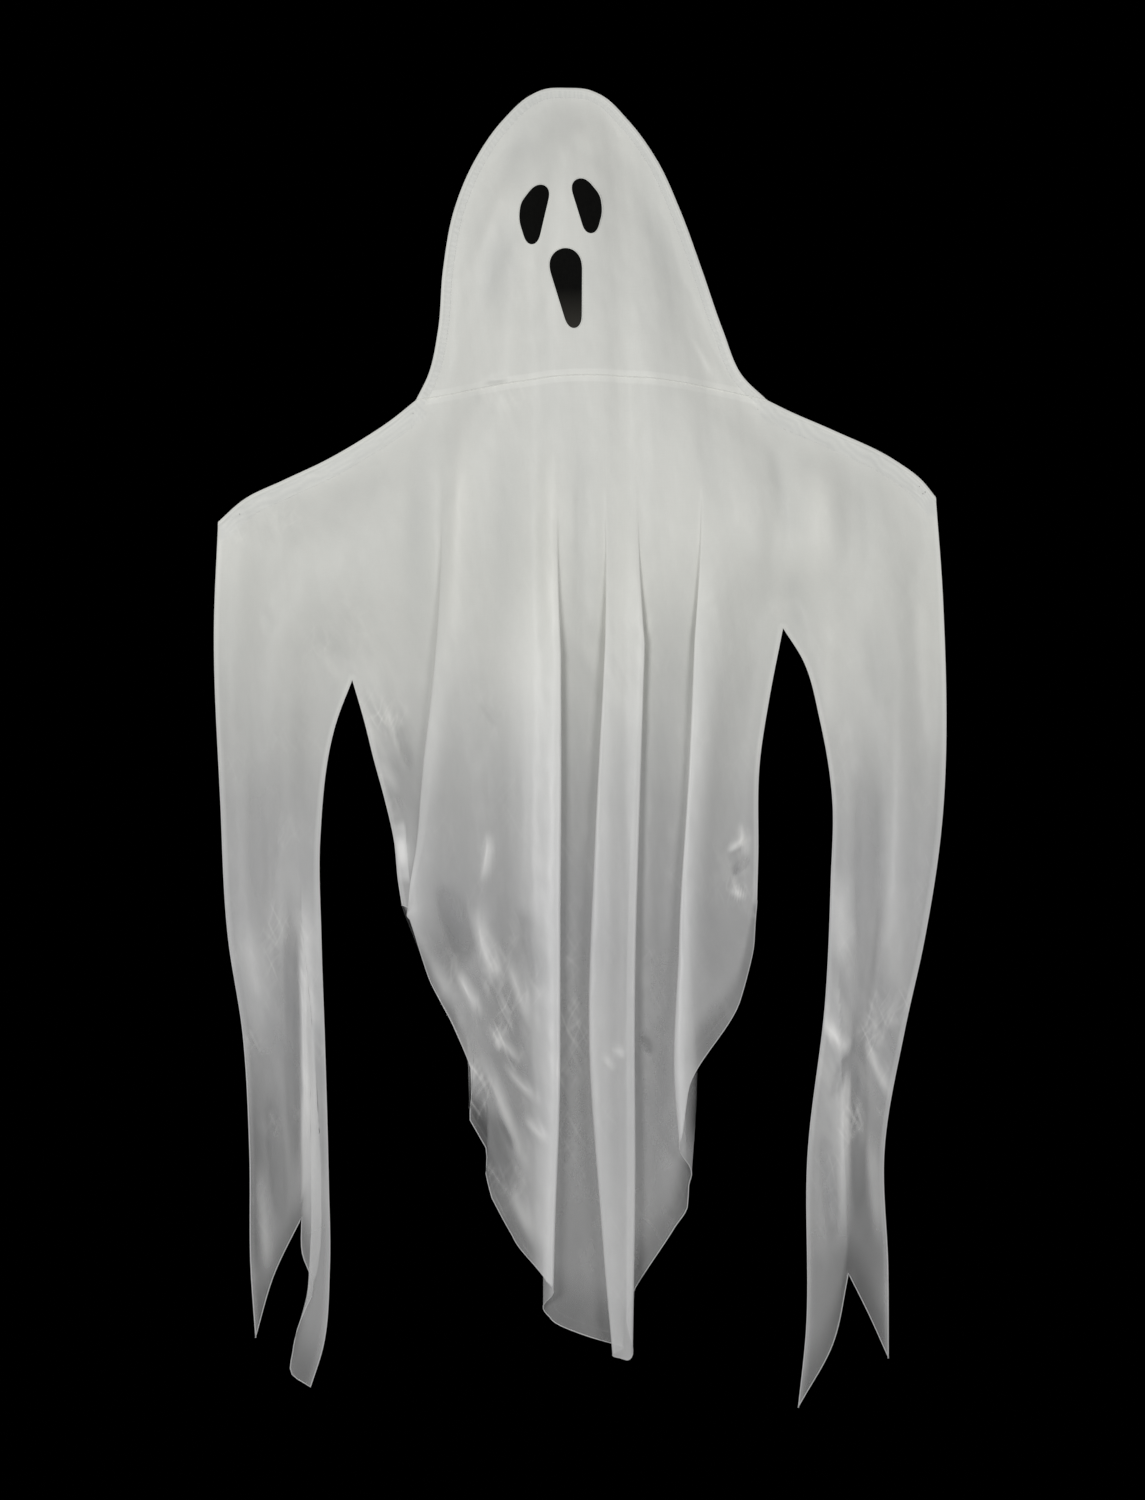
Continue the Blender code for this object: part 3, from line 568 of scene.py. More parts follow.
def wires_at(points, casing):
    """Distance in the front view to the nearest wire: hoop, shoulder bow, its bridge or its end eyes."""
    gap = np.abs(casing - WIRE_INSET)
    ends = []
    for side in ("left", "right"):
        fine = along(line[f"shoulder_{side}"], np.linspace(0, 1, BOW_STEPS))
        _, inward = running(fine, INWARD[f"shoulder_{side}"])
        wire = fine + WIRE_INSET * inward
        ends.append(wire[1])
        centre = wire[-2] + EYE_RADIUS * inward[-2]
        ring = np.abs(np.linalg.norm(points - centre, axis=-1) - EYE_RADIUS)
        corner = np.linalg.norm(points - place[f"neck_{side}"], axis=-1) - NECK_PAD
        corner = np.maximum(corner, np.maximum(WIRE_INSET - casing, 0))
        gap = np.minimum(np.minimum(gap, ring), corner)
    return np.minimum(gap, nearest(points, np.array(ends))[0])


def seams_at(points):
    """Where each point lies among the seams.

    Returns the distance to the nearest sewn edge, that to the nearest casing edge, the length along
    the casing, the width of the casing there, the distance to the nearest wire, and all edge
    distances d taken together as (sum of 1 / d^4)^(-1/4), which is round midway between two edges.
    """
    casing = np.full(points.shape[:-1], np.inf)
    length = np.zeros(points.shape[:-1])
    width = np.full(points.shape[:-1], ARCH_CASING)
    for name in CASING_EDGES:
        gap, run = nearest(points, line[name])
        closer = gap < casing
        casing = np.where(closer, gap, casing)
        length = np.where(closer, run, length)
        width = np.where(closer, ARCH_CASING if name == "arch" else SHOULDER_CASING, width)
    sewn = casing
    crowd = np.maximum(casing, 1e-5) ** -4.0
    for name in PLAIN_EDGES:
        gap = nearest(points, line[name])[0]
        sewn = np.minimum(sewn, gap)
        crowd += np.maximum(gap, 1e-5) ** -4.0
    return sewn, casing, length, width, wires_at(points, casing), crowd**-0.25


def standing_off(points, seams, folds, creases, layer, seed):
    """How far the cloth stands off the sewn plane.

    A rest of half a millimetre, the casing's puckers and the body of the cloth, which rises as
    1 - exp(-(d / softness)^2) from the seams: its fullness, the pleat's layer, the soft folds, the
    creases and small random waves. Over a wire it is at least the wire's own height.
    """
    sewn, casing, length, width, wire, inward = seams
    risen = 1 - np.exp(-(np.maximum(inward - SEAM_BAND, 0) / SEAM_SOFTNESS) ** 2)
    soft = sum(bump(points[..., 0] - at, SOFT_FOLD_WIDTH) for at in folds)
    depth = FULLNESS + PLEAT_DEPTH * (layer - 0.5) - SOFT_FOLD_DEPTH * soft
    beat = length + PUCKER_WANDER * wander(points, 0.12, 1.0, seed)
    pucker = 0.5 + 0.5 * np.sin(math.tau * beat / PUCKER_PITCH)
    uneven = 0.6 + 0.4 * wander(points, 0.09, 1.0, seed + 1)
    puckered = PUCKER_DEPTH * pucker * uneven * bump(casing - PUCKER_LINE * width, PUCKER_SPREAD * width)
    free = smooth_step((sewn - FREE_FROM) / FREE_WITHIN)
    waves = sum(high * wander(points, wavelength, stretch, seed + 2 + k)
                for k, (high, wavelength, stretch) in enumerate(WAVES))
    body = (SEWN_REST + puckered * smooth_step((sewn - 0.002) / 0.006)
            + risen * depth + free * (creased(points, creases) + waves))
    return np.maximum(np.maximum(body, SEWN_REST), WIRE_REST * bump(wire, WIRE_REST_WIDTH))


def slope_of(solid):
    """How many times more cloth than flat cloth covers each place, seen square to the sewn plane.

    It is 1 / |the y share of the unit normal|, from the cross product of the grid's two steps.
    """
    normal = unit(np.cross(np.gradient(solid, axis=0), np.gradient(solid, axis=1)))
    return 1 / np.clip(np.abs(normal[..., 1]), 1 / STEEPEST, 1)


def ridges(points, heights):
    """Extra layers where a crease stands up and fewer in its valleys, from the chest downwards."""
    low = smooth_step((RIDGES_FROM - points[..., 1]) / RIDGES_GROW)
    return low * np.clip(RIDGE_LAYERS * heights / RIDGE_HEIGHT, *RIDGE_RANGE)


def strips(points):
    """Extra layers where the cloth is folded double: crisp at the fold's line, fading away from it."""
    total = np.zeros(points.shape[:-1])
    for start, end, width, extra in FOLD_STRIPS:
        t, off = beside(points, start, end)
        off = -np.sign(width) * off
        crisp = faded(t, STRIP_TAPER) * smooth_step(off / STRIP_EDGE + 0.5)
        total += extra * crisp * bump(np.maximum(off, 0), abs(width))
    return total


def cover(points, seams, slope, more=0.0, seen=1.0):
    """Share of the dark that the cloth hides: 1 - (1 - one layer)^layers, with more at the seams."""
    sewn, casing, _, width, _, _ = seams
    one = np.interp(points[..., 1], COVER_HEIGHTS, COVER_SHARES)
    for *where, factor in COVER_SPOTS:
        one = one * (1 + (factor - 1) * spot(points[..., 0], points[..., 1], *where))
    neck = nearest(points, line["neck"])[0]
    layers = 1.0 + SLOPE_SHARE * (slope - 1) + more
    for extra, within, begins in ((CASING_LAYERS, width - casing, CRISP),
                                  (SEAM_LAYERS, SEAM_ALLOWANCE - sewn, LESS_CRISP),
                                  (NECK_LAYERS, NECK_ALLOWANCE - neck, CRISP)):
        layers = layers + extra * smooth_step(within / begins + 0.5)
    return 1 - (1 - np.clip(one, 0, MOST_COVER)) ** (np.maximum(layers, LEAST_LAYERS) * seen)


def shade(points, seams, heights):
    """Tone of the cloth from 0, its lightest, to 1, its greyest.

    Painted shade greys the casing and its puckers and the valleys of the creases, and painted
    highlight lightens the ridges; the neck seam is lighter too.
    """
    _, casing, length, width, _, _ = seams
    # Painted shade: the casing greyer over its bulge, with grey ticks along it at the gather pitch for the
    # shade of its puckers
    in_casing = smooth_step((width - casing) / 0.002 + 0.5) * smooth_step((casing - 0.003) / 0.003)
    beat = length + 0.002 * wander(points, 0.05, 1.0, 5)
    threads = 0.5 + 0.5 * np.sin(math.tau * beat / GATHER_PITCH)
    neck = nearest(points, line["neck"])[0]
    tone = TONE_MIDDLE + in_casing * (CASING_PAINTED_SHADE + PUCKER_PAINTED_SHADE * threads)
    tone -= NECK_LIGHT * bump(neck, NECK_BAND) * (0.7 + 0.5 * wander(points, 0.06, 1.0, 6))
    # Painted highlight on the ridges of the creases and painted shade in their valleys
    tone -= np.clip(heights * CREASE_PAINTED_LIGHT, *TONE_RANGE)
    return np.clip(tone + TONE_WANDER * wander(points, 0.20, 2.0, 7), 0, 1)


def crumpled(points):
    """How finely crumpled the cloth is at each point, 0 to 1: the strongest of the listed places."""
    most = np.full(len(points), CRUMPLE_EVERYWHERE)
    for *where, amount in CRUMPLES:
        most = np.maximum(most, amount * spot(points[:, 0], points[:, 2], *where))
    return most


def cloth_mesh(name, points, quads, covers, tones=None):
    """Mesh of quads with smooth shading and the cover, tone and crumpling of each point."""
    used, renumbered = np.unique(quads, return_inverse=True)
    quads = renumbered.reshape(quads.shape)
    mesh = bpy.data.meshes.new(name)
    mesh.vertices.add(len(used))
    mesh.vertices.foreach_set("co", points[used].astype(np.float32).ravel())
    mesh.loops.add(quads.size)
    mesh.loops.foreach_set("vertex_index", quads.astype(np.int32).ravel())
    mesh.polygons.add(len(quads))
    mesh.polygons.foreach_set("loop_start", np.arange(0, quads.size, 4, dtype=np.int32))
    mesh.update(calc_edges=True)
    mesh.validate()
    mesh.shade_smooth()
    if tones is None:
        tones = np.full(len(points), TONE_MIDDLE)
    for kind, values in (("cover", covers), ("tone", tones), ("crumple", crumpled(points))):
        stored = mesh.attributes.new(kind, "FLOAT", "POINT")
        stored.data.foreach_set("value", values[used].astype(np.float32))
    return mesh


def grid_quads(numbers):
    """Quads between the neighbours of a grid of point numbers."""
    return np.stack((numbers[:-1, :-1], numbers[1:, :-1], numbers[1:, 1:], numbers[:-1, 1:]),
                    axis=-1).reshape(-1, 4)


def placed(name, data):
    """New object in the scene, at the origin."""
    made = bpy.data.objects.new(name, data)
    bpy.context.scene.collection.objects.link(made)
    return made


def piece(name, mesh, material):
    """Object at the origin that rides on the ghost, with the given finish."""
    made = placed(name, mesh)
    mesh.materials.append(material)
    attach(made, "root")
    return made


def rising(counts, values, at):
    """Cubic through the values that never overshoots: its slope at each is the flatter neighbour's."""
    steps = np.diff(values) / np.diff(counts)
    before, after = np.append(steps[:1], steps), np.append(steps, steps[-1:])
    slopes = np.where(before * after > 0, np.sign(after) * np.minimum(abs(before), abs(after)), 0)
    return cubic(counts, values, slopes, at)


def station_columns(stations, columns):
    """Values of the stations at fractional columns.

    Returns the shares across neck, chest and hem, the drop, the layer, the sideways swing of each
    column's pleat with that pleat's number, and how much of the cloth tucked under it shows.
    """
    table = np.array(stations)
    counts = np.cumsum(table[:, 0])
    hem, drop = (rising(counts, table[:, k], columns) for k in (3, 4))
    neck, chest = (np.interp(columns, counts, table[:, k]) for k in (1, 2))
    before = np.minimum(np.searchsorted(counts, columns, side="right") - 1, len(counts) - 2)
    t = (columns - counts[before]) / (counts[before + 1] - counts[before])
    reached = table[:, 5]
    layer = reached[before] + (reached[before + 1] - reached[before]) * smooth_step(t)
    turns = np.abs(np.diff(reached)) == 1
    number = np.cumsum(turns)[before] - 1
    swing = turns[before] * np.sin(math.tau * t)
    # Cloth tucked under fades out from the first to the third quarter of the turn, then back in
    from_edge = np.where(np.diff(reached)[before] < 0, t, 1 - t)
    under = np.where(from_edge < 0.75, 0.5 + 0.5 * np.sin(math.tau * from_edge),
                     smooth_step((from_edge - 0.75) / 0.25))
    under = np.where(turns[before] & (from_edge > 0.25), under, 1.0)
    return neck, chest, hem, drop, layer, swing, np.maximum(number, 0), under


def even_columns(stations, pleats, count):
    """Columns spread evenly over the cloth's own width, laps counted, halfway down the skirt."""
    last = sum(row[0] for row in stations)
    columns = np.linspace(0, last, COLUMN_SAMPLES)
    _, chest, hem, _, layer, swing, number, _ = station_columns(stations, columns)
    lap = np.array(pleats).mean(axis=1)[number]
    wide = place["armpit_right"][0] - place["armpit_left"][0]
    walked = lengths(np.column_stack(((chest + hem) / 2 * wide + lap * swing, PLEAT_DEPTH * layer)))
    return np.interp(np.linspace(0, walked[-1], count + 1), walked, columns)


def crowded(steps, edge_share, both=False):
    """Shares from 0 to 1 with EDGE_STEPS of them within edge_share of the start, or of both ends."""
    close = np.linspace(0, edge_share, EDGE_STEPS + 1)
    if both:
        middle = np.linspace(edge_share, 1 - edge_share, steps + 1)
        return np.concatenate((close[:-1], middle, (1 - close[:-1])[::-1]))
    return np.concatenate((close[:-1], np.linspace(edge_share, 1, steps + 1)))


DOWN = crowded(YOKE_STEPS, YOKE_EDGE_SHARE)
BELOW = np.linspace(0, 1, SKIRT_STEPS + 1)


def inner_yoke(side):
    """Straight line on the cloth from the neck corner to the armpit."""
    start = place[f"neck_{side}"]
    return start + DOWN[:, None] * (place[f"armpit_{side}"] - start)


def hem_waves(heights):
    """Sideways waves of the hem on the left flap, straight between the listed shifts."""
    depths, shifts = np.array(HEM_WAVES).T
    return np.interp(place["hem_left"][1] - heights, depths, shifts)


def gathers(across, layer, swing, number, opening):
    """Extra layers of cloth gathered beside the open edge of each fold, as exp(-(d / width)^2)."""
    low = np.concatenate((0 * DOWN, BELOW[1:]))[:, None]
    total = np.zeros(across.shape)
    for pleat, (extra, at_chest, at_hem) in enumerate(GATHERS):
        mine = (number == pleat) & (swing != 0)
        if not mine.any():
            continue
        falls = layer[mine][0] > layer[mine][-1]
        side = 1 if falls else -1
        fold = np.argmax(np.where(mine, side * swing, -np.inf))
        inward = side * (across[:, fold:fold + 1] - across)
        width = at_chest + low * (at_hem - at_chest)
        total += (extra * (inward > -GATHER_OUTSIDE) * bump(inward, width)
                  * smooth_step((layer - 0.5) / 0.3))
    return total * smooth_step((opening - 0.1) / 0.5)[:, None]


def torso_grid(stations, pleats, hem_share, count):
    """Flat gown between the side seams with its pleats lapped over.

    Returns its points, and for each the layer, how much of it shows and the gathered layers.
    """
    columns = even_columns(stations, pleats, count)
    neck, chest, hem, drop, layer, swing, number, under = station_columns(stations, columns)
    top = along(line["neck"], neck)
    middle = place["armpit_left"] + chest[:, None] * (place["armpit_right"] - place["armpit_left"])
    low = place["hem_left"] + hem[:, None] * (place["hem_right"] - place["hem_left"])
    low[:, 1] -= drop * HEM_DROP * hem_share
    low[:, 0] += (hem < WAVY_SHARE) * hem_waves(low[:, 1])
    yoke = patch(top, middle, inner_yoke("left"), inner_yoke("right"), neck, DOWN)
    skirt = patch(middle, low, along(line["side_left"], BELOW), along(line["side_right"], BELOW),
                  chest, BELOW)
    laps = np.array([along(np.column_stack((PLEAT_HEIGHTS, pleat)), BELOW)[:, 1] for pleat in pleats])
    yoke[..., 0] += (DOWN**YOKE_START)[:, None] * laps[number, 0] * swing
    skirt[..., 0] += laps[number].T * swing
    opening = np.concatenate((CHEST_OPENING * DOWN**YOKE_START,
                              CHEST_OPENING + BELOW[1:] * (1 - CHEST_OPENING)))
    points = np.concatenate((yoke, skirt[1:]))
    reach = np.concatenate(((DOWN**YOKE_START)[:, None] * laps[number, 0], laps[number].T[1:]))
    shown = 1 - (1 - under) * smooth_step((reach - LAP_SEEN) / LAP_SEEN)
    return (points, 0.5 + (layer - 0.5) * opening[:, None], shown,
            gathers(points[..., 0], layer, swing, number, opening))


def sleeve_grid(side):
    """Flat sleeve with its half of the yoke, rows from the shoulder down, columns left to right."""
    outer = line[f"outer_{side}"]
    shares = np.linspace(0, 1, OUTER_SAMPLES)
    heights = along(outer, shares)[:, 1]
    cut = float(np.interp(-place[f"armpit_{side}"][1], -heights, shares))
    columns = np.linspace(0, 1, SLEEVE_COLUMNS + 1)
    chest = along(outer, np.array([cut]))[0]
    top = along(line[f"shoulder_{side}"], columns)[::-1]
    middle = chest + columns[:, None] * (place[f"armpit_{side}"] - chest)
    yoke = patch(top, middle, along(outer, DOWN * cut), inner_yoke(side), columns, DOWN)
    half = (len(columns) + 1) // 2
    cuff = np.concatenate((along(line[f"cuff_{side}"], np.linspace(0, 1, half)),
                           along(line[f"fork_{side}"], np.linspace(0, 1, len(columns) - half + 1))[1:]))
    lower = patch(middle, cuff, along(outer, cut + BELOW * (1 - cut)),
                  along(line[f"inner_{side}"], BELOW), columns, BELOW)
    points = np.concatenate((yoke, lower[1:]))
    return points[:, ::-1] if side == "right" else points


def gown_layer(name, side, stations, pleats, hem_share, count, folds, creases, seed, material):
    """One layer of gown and sleeves as a single sheet, and the grids of its points."""
    torso, layer, shown, gathered = torso_grid(stations, pleats, hem_share, count)
    flats = {"left": sleeve_grid("left"), "torso": torso, "right": sleeve_grid("right")}
    front = side < 0
    rows = np.concatenate((0 * DOWN, BELOW[1:]))
    solid, numbers, covers, tones = {}, {}, {}, {}
    start = 0
    for key, flat in flats.items():
        middle = key == "torso"
        seams = seams_at(flat)
        y = side * standing_off(flat, seams, folds, creases, layer if middle else 0.5, seed)
        solid[key] = np.stack((flat[..., 0], y, flat[..., 1]), axis=-1)
        heights = creased(flat, creases)
        more = ridges(flat, heights)
        if front:
            more = more + strips(flat) + (gathered if middle else 0.0)
        covers[key] = cover(flat, seams, slope_of(solid[key]), more, shown if middle else 1.0)
        if not front:
            covers[key] = covers[key] * smooth_step((1 - rows) / BACK_FADE)[:, None]
        tones[key] = shade(flat, seams, heights)
        numbers[key] = np.arange(start, start + flat[..., 0].size).reshape(flat.shape[:2])
        start += flat[..., 0].size
    joined = len(DOWN)
    numbers["left"][:joined, -1] = numbers["torso"][:joined, 0]
    numbers["right"][:joined, 0] = numbers["torso"][:joined, -1]
    quads = np.concatenate([grid_quads(numbers[key]) for key in flats])
    if not front:
        quads = quads[:, ::-1]
    points = np.concatenate([solid[key].reshape(-1, 3) for key in flats])
    shares, greys = (np.concatenate([kept[key].ravel() for key in flats]) for kept in (covers, tones))
    made = piece(name, cloth_mesh(name, points, quads, shares, greys), material)
    return made, solid


def hood_flat():
    """Flat hood: the grid between the top of the arch, its two sides and the neck seam."""
    low, high = ARCH_CORNERS
    arch = line["arch"]
    shares = crowded(HOOD_STEPS, HOOD_EDGE_SHARE, both=True)
    return patch(along(arch, low + shares * (high - low)), along(line["neck"], shares),
                 along(arch, low * (1 - shares)), along(arch, high + shares * (1 - high)),
                 shares, shares)


def opening_outline(circles, grow=0.0):
    """Line stretched round the circles, grown by a margin.

    In each direction it is the point of the circle that reaches furthest that way. Even points
    along it are then averaged with their neighbours, which rounds its corners.
    """
    across, drop, radius = np.array(circles).T
    turn = np.arange(OUTLINE_POINTS) * math.tau / OUTLINE_POINTS
    way = np.column_stack((np.sin(turn), np.cos(turn)))
    furthest = np.argmax(way @ np.array((across, -drop)) + radius, axis=1)
    hull = np.column_stack((across, -drop))[furthest] + (radius[furthest] + grow)[:, None] * way
    closed = np.concatenate((hull, hull[:1]))
    walked = lengths(closed)
    at = np.arange(OUTLINE_POINTS) / OUTLINE_POINTS * walked[-1]
    even = at_lengths(closed, walked, at)
    spread = range(-OUTLINE_ROUNDING, OUTLINE_ROUNDING + 1)
    return sum(np.roll(even, k, axis=0) for k in spread) / len(spread)


def inside(points, outline):
    """True where a point lies in a closed outline: an upward line crosses it an odd number of times."""
    odd = np.zeros(len(points), bool)
    for (x0, z0), (x1, z1) in zip(outline, np.roll(outline, -1, axis=0)):
        between = (points[:, 0] < x0) != (points[:, 0] < x1)
        level = z0 + (points[:, 0] - x0) / (x1 - x0 + 1e-12) * (z1 - z0)
        odd ^= between & (points[:, 1] < level)
    return odd


def onto(points, outline):
    """Nearest point of a closed outline for each point."""
    gap = np.full(len(points), np.inf)
    found = points.copy()
    for start, end in zip(outline, np.roll(outline, -1, axis=0)):
        t, here = foot(points, start, end)
        closer = here < gap
        gap = np.where(closer, here, gap)
        found[closer] = (start + t[:, None] * (end - start))[closer]
    return found


def face_cut(flat):
    """Moves the points nearest each face opening onto its outline; returns them and the kept quads."""
    rows, columns = flat.shape[:2]
    points = flat.reshape(-1, 2).copy()
    quads = grid_quads(np.arange(len(points)).reshape(rows, columns))
    for circles in (LEFT_EYE, RIGHT_EYE, MOUTH):
        outline = opening_outline(circles, OPENING_GROWTH)
        within = inside(points, outline)
        count = within[quads].sum(axis=1)
        crossing = quads[(count > 0) & (count < 4)]
        rim = np.unique(crossing[within[crossing]])
        points[rim] = onto(points[rim], outline)
        quads = quads[count < 4]
        whole = within.copy()
        whole[rim] = False
        quads = quads[~whole[quads].any(axis=1)]
    return points, quads


def hood_layer(name, side, folds, creases, seed, material, openings):
    """One layer of the hood as a sheet, with or without the face openings."""
    flat = hood_flat()
    if openings:
        points, quads = face_cut(flat)
    else:
        points = flat.reshape(-1, 2)
        quads = grid_quads(np.arange(len(points)).reshape(flat.shape[:2]))
    if side > 0:
        quads = quads[:, ::-1]
    seams = seams_at(points)
    y = side * standing_off(points, seams, folds, creases, 0.5, seed)
    solid = np.column_stack((points[:, 0], y, points[:, 1]))
    slope = slope_of(solid.reshape(*flat.shape[:2], 3)).ravel()
    mesh = cloth_mesh(name, solid, quads, cover(points, seams, slope),
                      shade(points, seams, creased(points, creases)))
    return piece(name, mesh, material)


def front_at(points, offset=0.0):
    """Points of the front view set on the front cloth, pushed out by an offset."""
    creases = HOOD_CREASES + CHEST_CREASES
    y = -standing_off(points, seams_at(points), SOFT_FOLDS, creases, 0.5, FRONT_SEED) - offset
    return np.column_stack((points[:, 0], y, points[:, 1]))


def unit(vectors):
    """Each vector at length 1."""
    return vectors / np.maximum(np.linalg.norm(vectors, axis=-1, keepdims=True), 1e-9)


def roll(path, outward, facing, radius, closed=False):
    """Thin tube along a path: rings of outward * sin + facing * cos, joined one to the next."""
    turn = np.arange(TUBE_SIDES) * math.tau / TUBE_SIDES
    size = np.broadcast_to(radius, len(path))[:, None, None]
    rings = path[:, None] + size * (np.cos(turn)[None, :, None] * facing[:, None]
                                    + np.sin(turn)[None, :, None] * outward[:, None])
    numbers = np.arange(len(path) * TUBE_SIDES).reshape(len(path), TUBE_SIDES)
    wrapped = np.column_stack((numbers, numbers[:, 0]))
    if closed:
        wrapped = np.concatenate((wrapped, wrapped[:1]))
    quads = grid_quads(wrapped)
    if not closed:
        first, last = numbers[0], numbers[-1]
        caps = [first[[0, 1, 2, 3]], first[[0, 3, 4, 5]], last[[3, 2, 1, 0]], last[[5, 4, 3, 0]]]
        quads = np.concatenate((quads, caps))
    return rings.reshape(-1, 3), quads


def rolls_piece(name, tubes, covers, material):
    """One piece from several tubes, each with its own cover."""
    points, quads, shares, start = [], [], [], 0
    for (rings, faces), share in zip(tubes, covers):
        points.append(rings)
        quads.append(faces + start)
        shares.append(np.broadcast_to(share, len(rings)))
        start += len(rings)
    mesh = cloth_mesh(name, np.concatenate(points), np.concatenate(quads), np.concatenate(shares))
    return piece(name, mesh, material)


def hem_roll(grid_row, row_before):
    """Rolled hem along the last row of a sheet, turned with the sheet's own face."""
    run = unit(np.gradient(grid_row, axis=0))
    facing = unit(np.cross(run, grid_row - row_before))
    outward = np.cross(facing, run)
    return roll(grid_row, outward, facing, HEM_RADIUS)


def flat_seam(points, radius, toward):
    """Rolled seam just inside an edge of the sewn plane."""
    run = unit(np.gradient(points, axis=0))
    outward = np.column_stack((run[:, 1], 0 * run[:, 0], -run[:, 0]))
    facing = np.tile((0.0, -1.0, 0.0), (len(points), 1))
    inward = radius * toward * outward
    path = np.column_stack((points[:, 0], 0 * points[:, 0], points[:, 1])) + inward
    return roll(path, outward, facing, radius)


class Value:
    """An output socket that varies over a surface, with the sums used on it."""

    def __init__(self, tree, socket):
        self.tree = tree
        self.socket = socket

    def __add__(self, other):
        return sum_node(self.tree, "ADD", self, other)

    def __mul__(self, other):
        return sum_node(self.tree, "MULTIPLY", self, other)

    def __sub__(self, other):
        return sum_node(self.tree, "SUBTRACT", self, other)

    def __rsub__(self, other):
        return sum_node(self.tree, "SUBTRACT", other, self)

    __radd__ = __add__
    __rmul__ = __mul__


def node(tree, kind, settings, inputs, output=0):
    """Any node: its settings first, then the value or link of each socket."""
    made = tree.nodes.new(kind)
    for name, setting in settings.items():
        setattr(made, name, setting)
    for name, value in inputs.items():
        if isinstance(value, Value):
            tree.links.new(value.socket, made.inputs[name])
        else:
            made.inputs[name].default_value = value
    return Value(tree, made.outputs[output])


def sum_node(tree, operation, first, second):
    """A Math node."""
    return node(tree, "ShaderNodeMath", {"operation": operation}, {0: first, 1: second})


def blend_colours(tree, share, first, second):
    """Colour between two by a share."""
    return node(tree, "ShaderNodeMix", {"data_type": "RGBA"}, {0: share, 6: first, 7: second}, 2)


def object_place(tree, scale, tilt):
    """Object coordinates, turned back by the tilt about Y and then scaled by axis."""
    place_of = node(tree, "ShaderNodeTexCoord", {}, {}, 3)
    return node(tree, "ShaderNodeMapping", {"vector_type": "TEXTURE"},
                {"Vector": place_of, "Rotation": (0.0, tilt, 0.0), "Scale": [1 / s for s in scale]})


def noise(tree, scale, size, detail=2.0, tilt=0.0):
    """Cloudy pattern of 0 to 1 on tilted and scaled Object coordinates."""
    return node(tree, "ShaderNodeTexNoise", {},
                {"Vector": object_place(tree, scale, tilt), "Scale": size, "Detail": detail})


def ridge_lines(tree, scale, size, sharpness, tilt):
    """Thin lines along the middle value of a cloudy pattern: 1 - |pattern - 0.5| * sharpness."""
    pattern = noise(tree, scale, size, 1.0, tilt)
    off = node(tree, "ShaderNodeMath", {"operation": "ABSOLUTE"}, {0: pattern - 0.5})
    return node(tree, "ShaderNodeMath", {"operation": "SUBTRACT", "use_clamp": True},
                {0: 1.0, 1: off * sharpness})


def stored(tree, name):
    """Number kept on the points of the cloth."""
    return node(tree, "ShaderNodeAttribute", {"attribute_name": name}, {}, 2)


def object_height(tree):
    """Height in metres, 0 at the crown and below 0 under it."""
    return node(tree, "ShaderNodeSeparateXYZ", {}, {0: node(tree, "ShaderNodeTexCoord", {}, {}, 3)}, 2)


def passing(tree, value, start, end, curve="SMOOTHSTEP"):
    """0 to 1 as a value passes from start to end."""
    return node(tree, "ShaderNodeMapRange", {"interpolation_type": curve},
                {"Value": value, "From Min": start, "From Max": end})


def relief(tree, strength, distance, height):
    """Direction of a surface with a fine relief on it."""
    return node(tree, "ShaderNodeBump", {},
                {"Strength": strength, "Distance": distance, "Height": height})


def finish(name, constants):
    """New Principled material with its constant values set on its own sockets."""
    material = bpy.data.materials.new(name)
    material.use_nodes = True
    shader = material.node_tree.nodes["Principled BSDF"]
    for socket, value in constants.items():
        shader.inputs[socket].default_value = value
    return material, material.node_tree, shader


def feed(tree, shader, **links):
    """Links values into the shader's sockets."""
    for name, value in links.items():
        tree.links.new(value.socket, shader.inputs[name.replace("_", " ")])


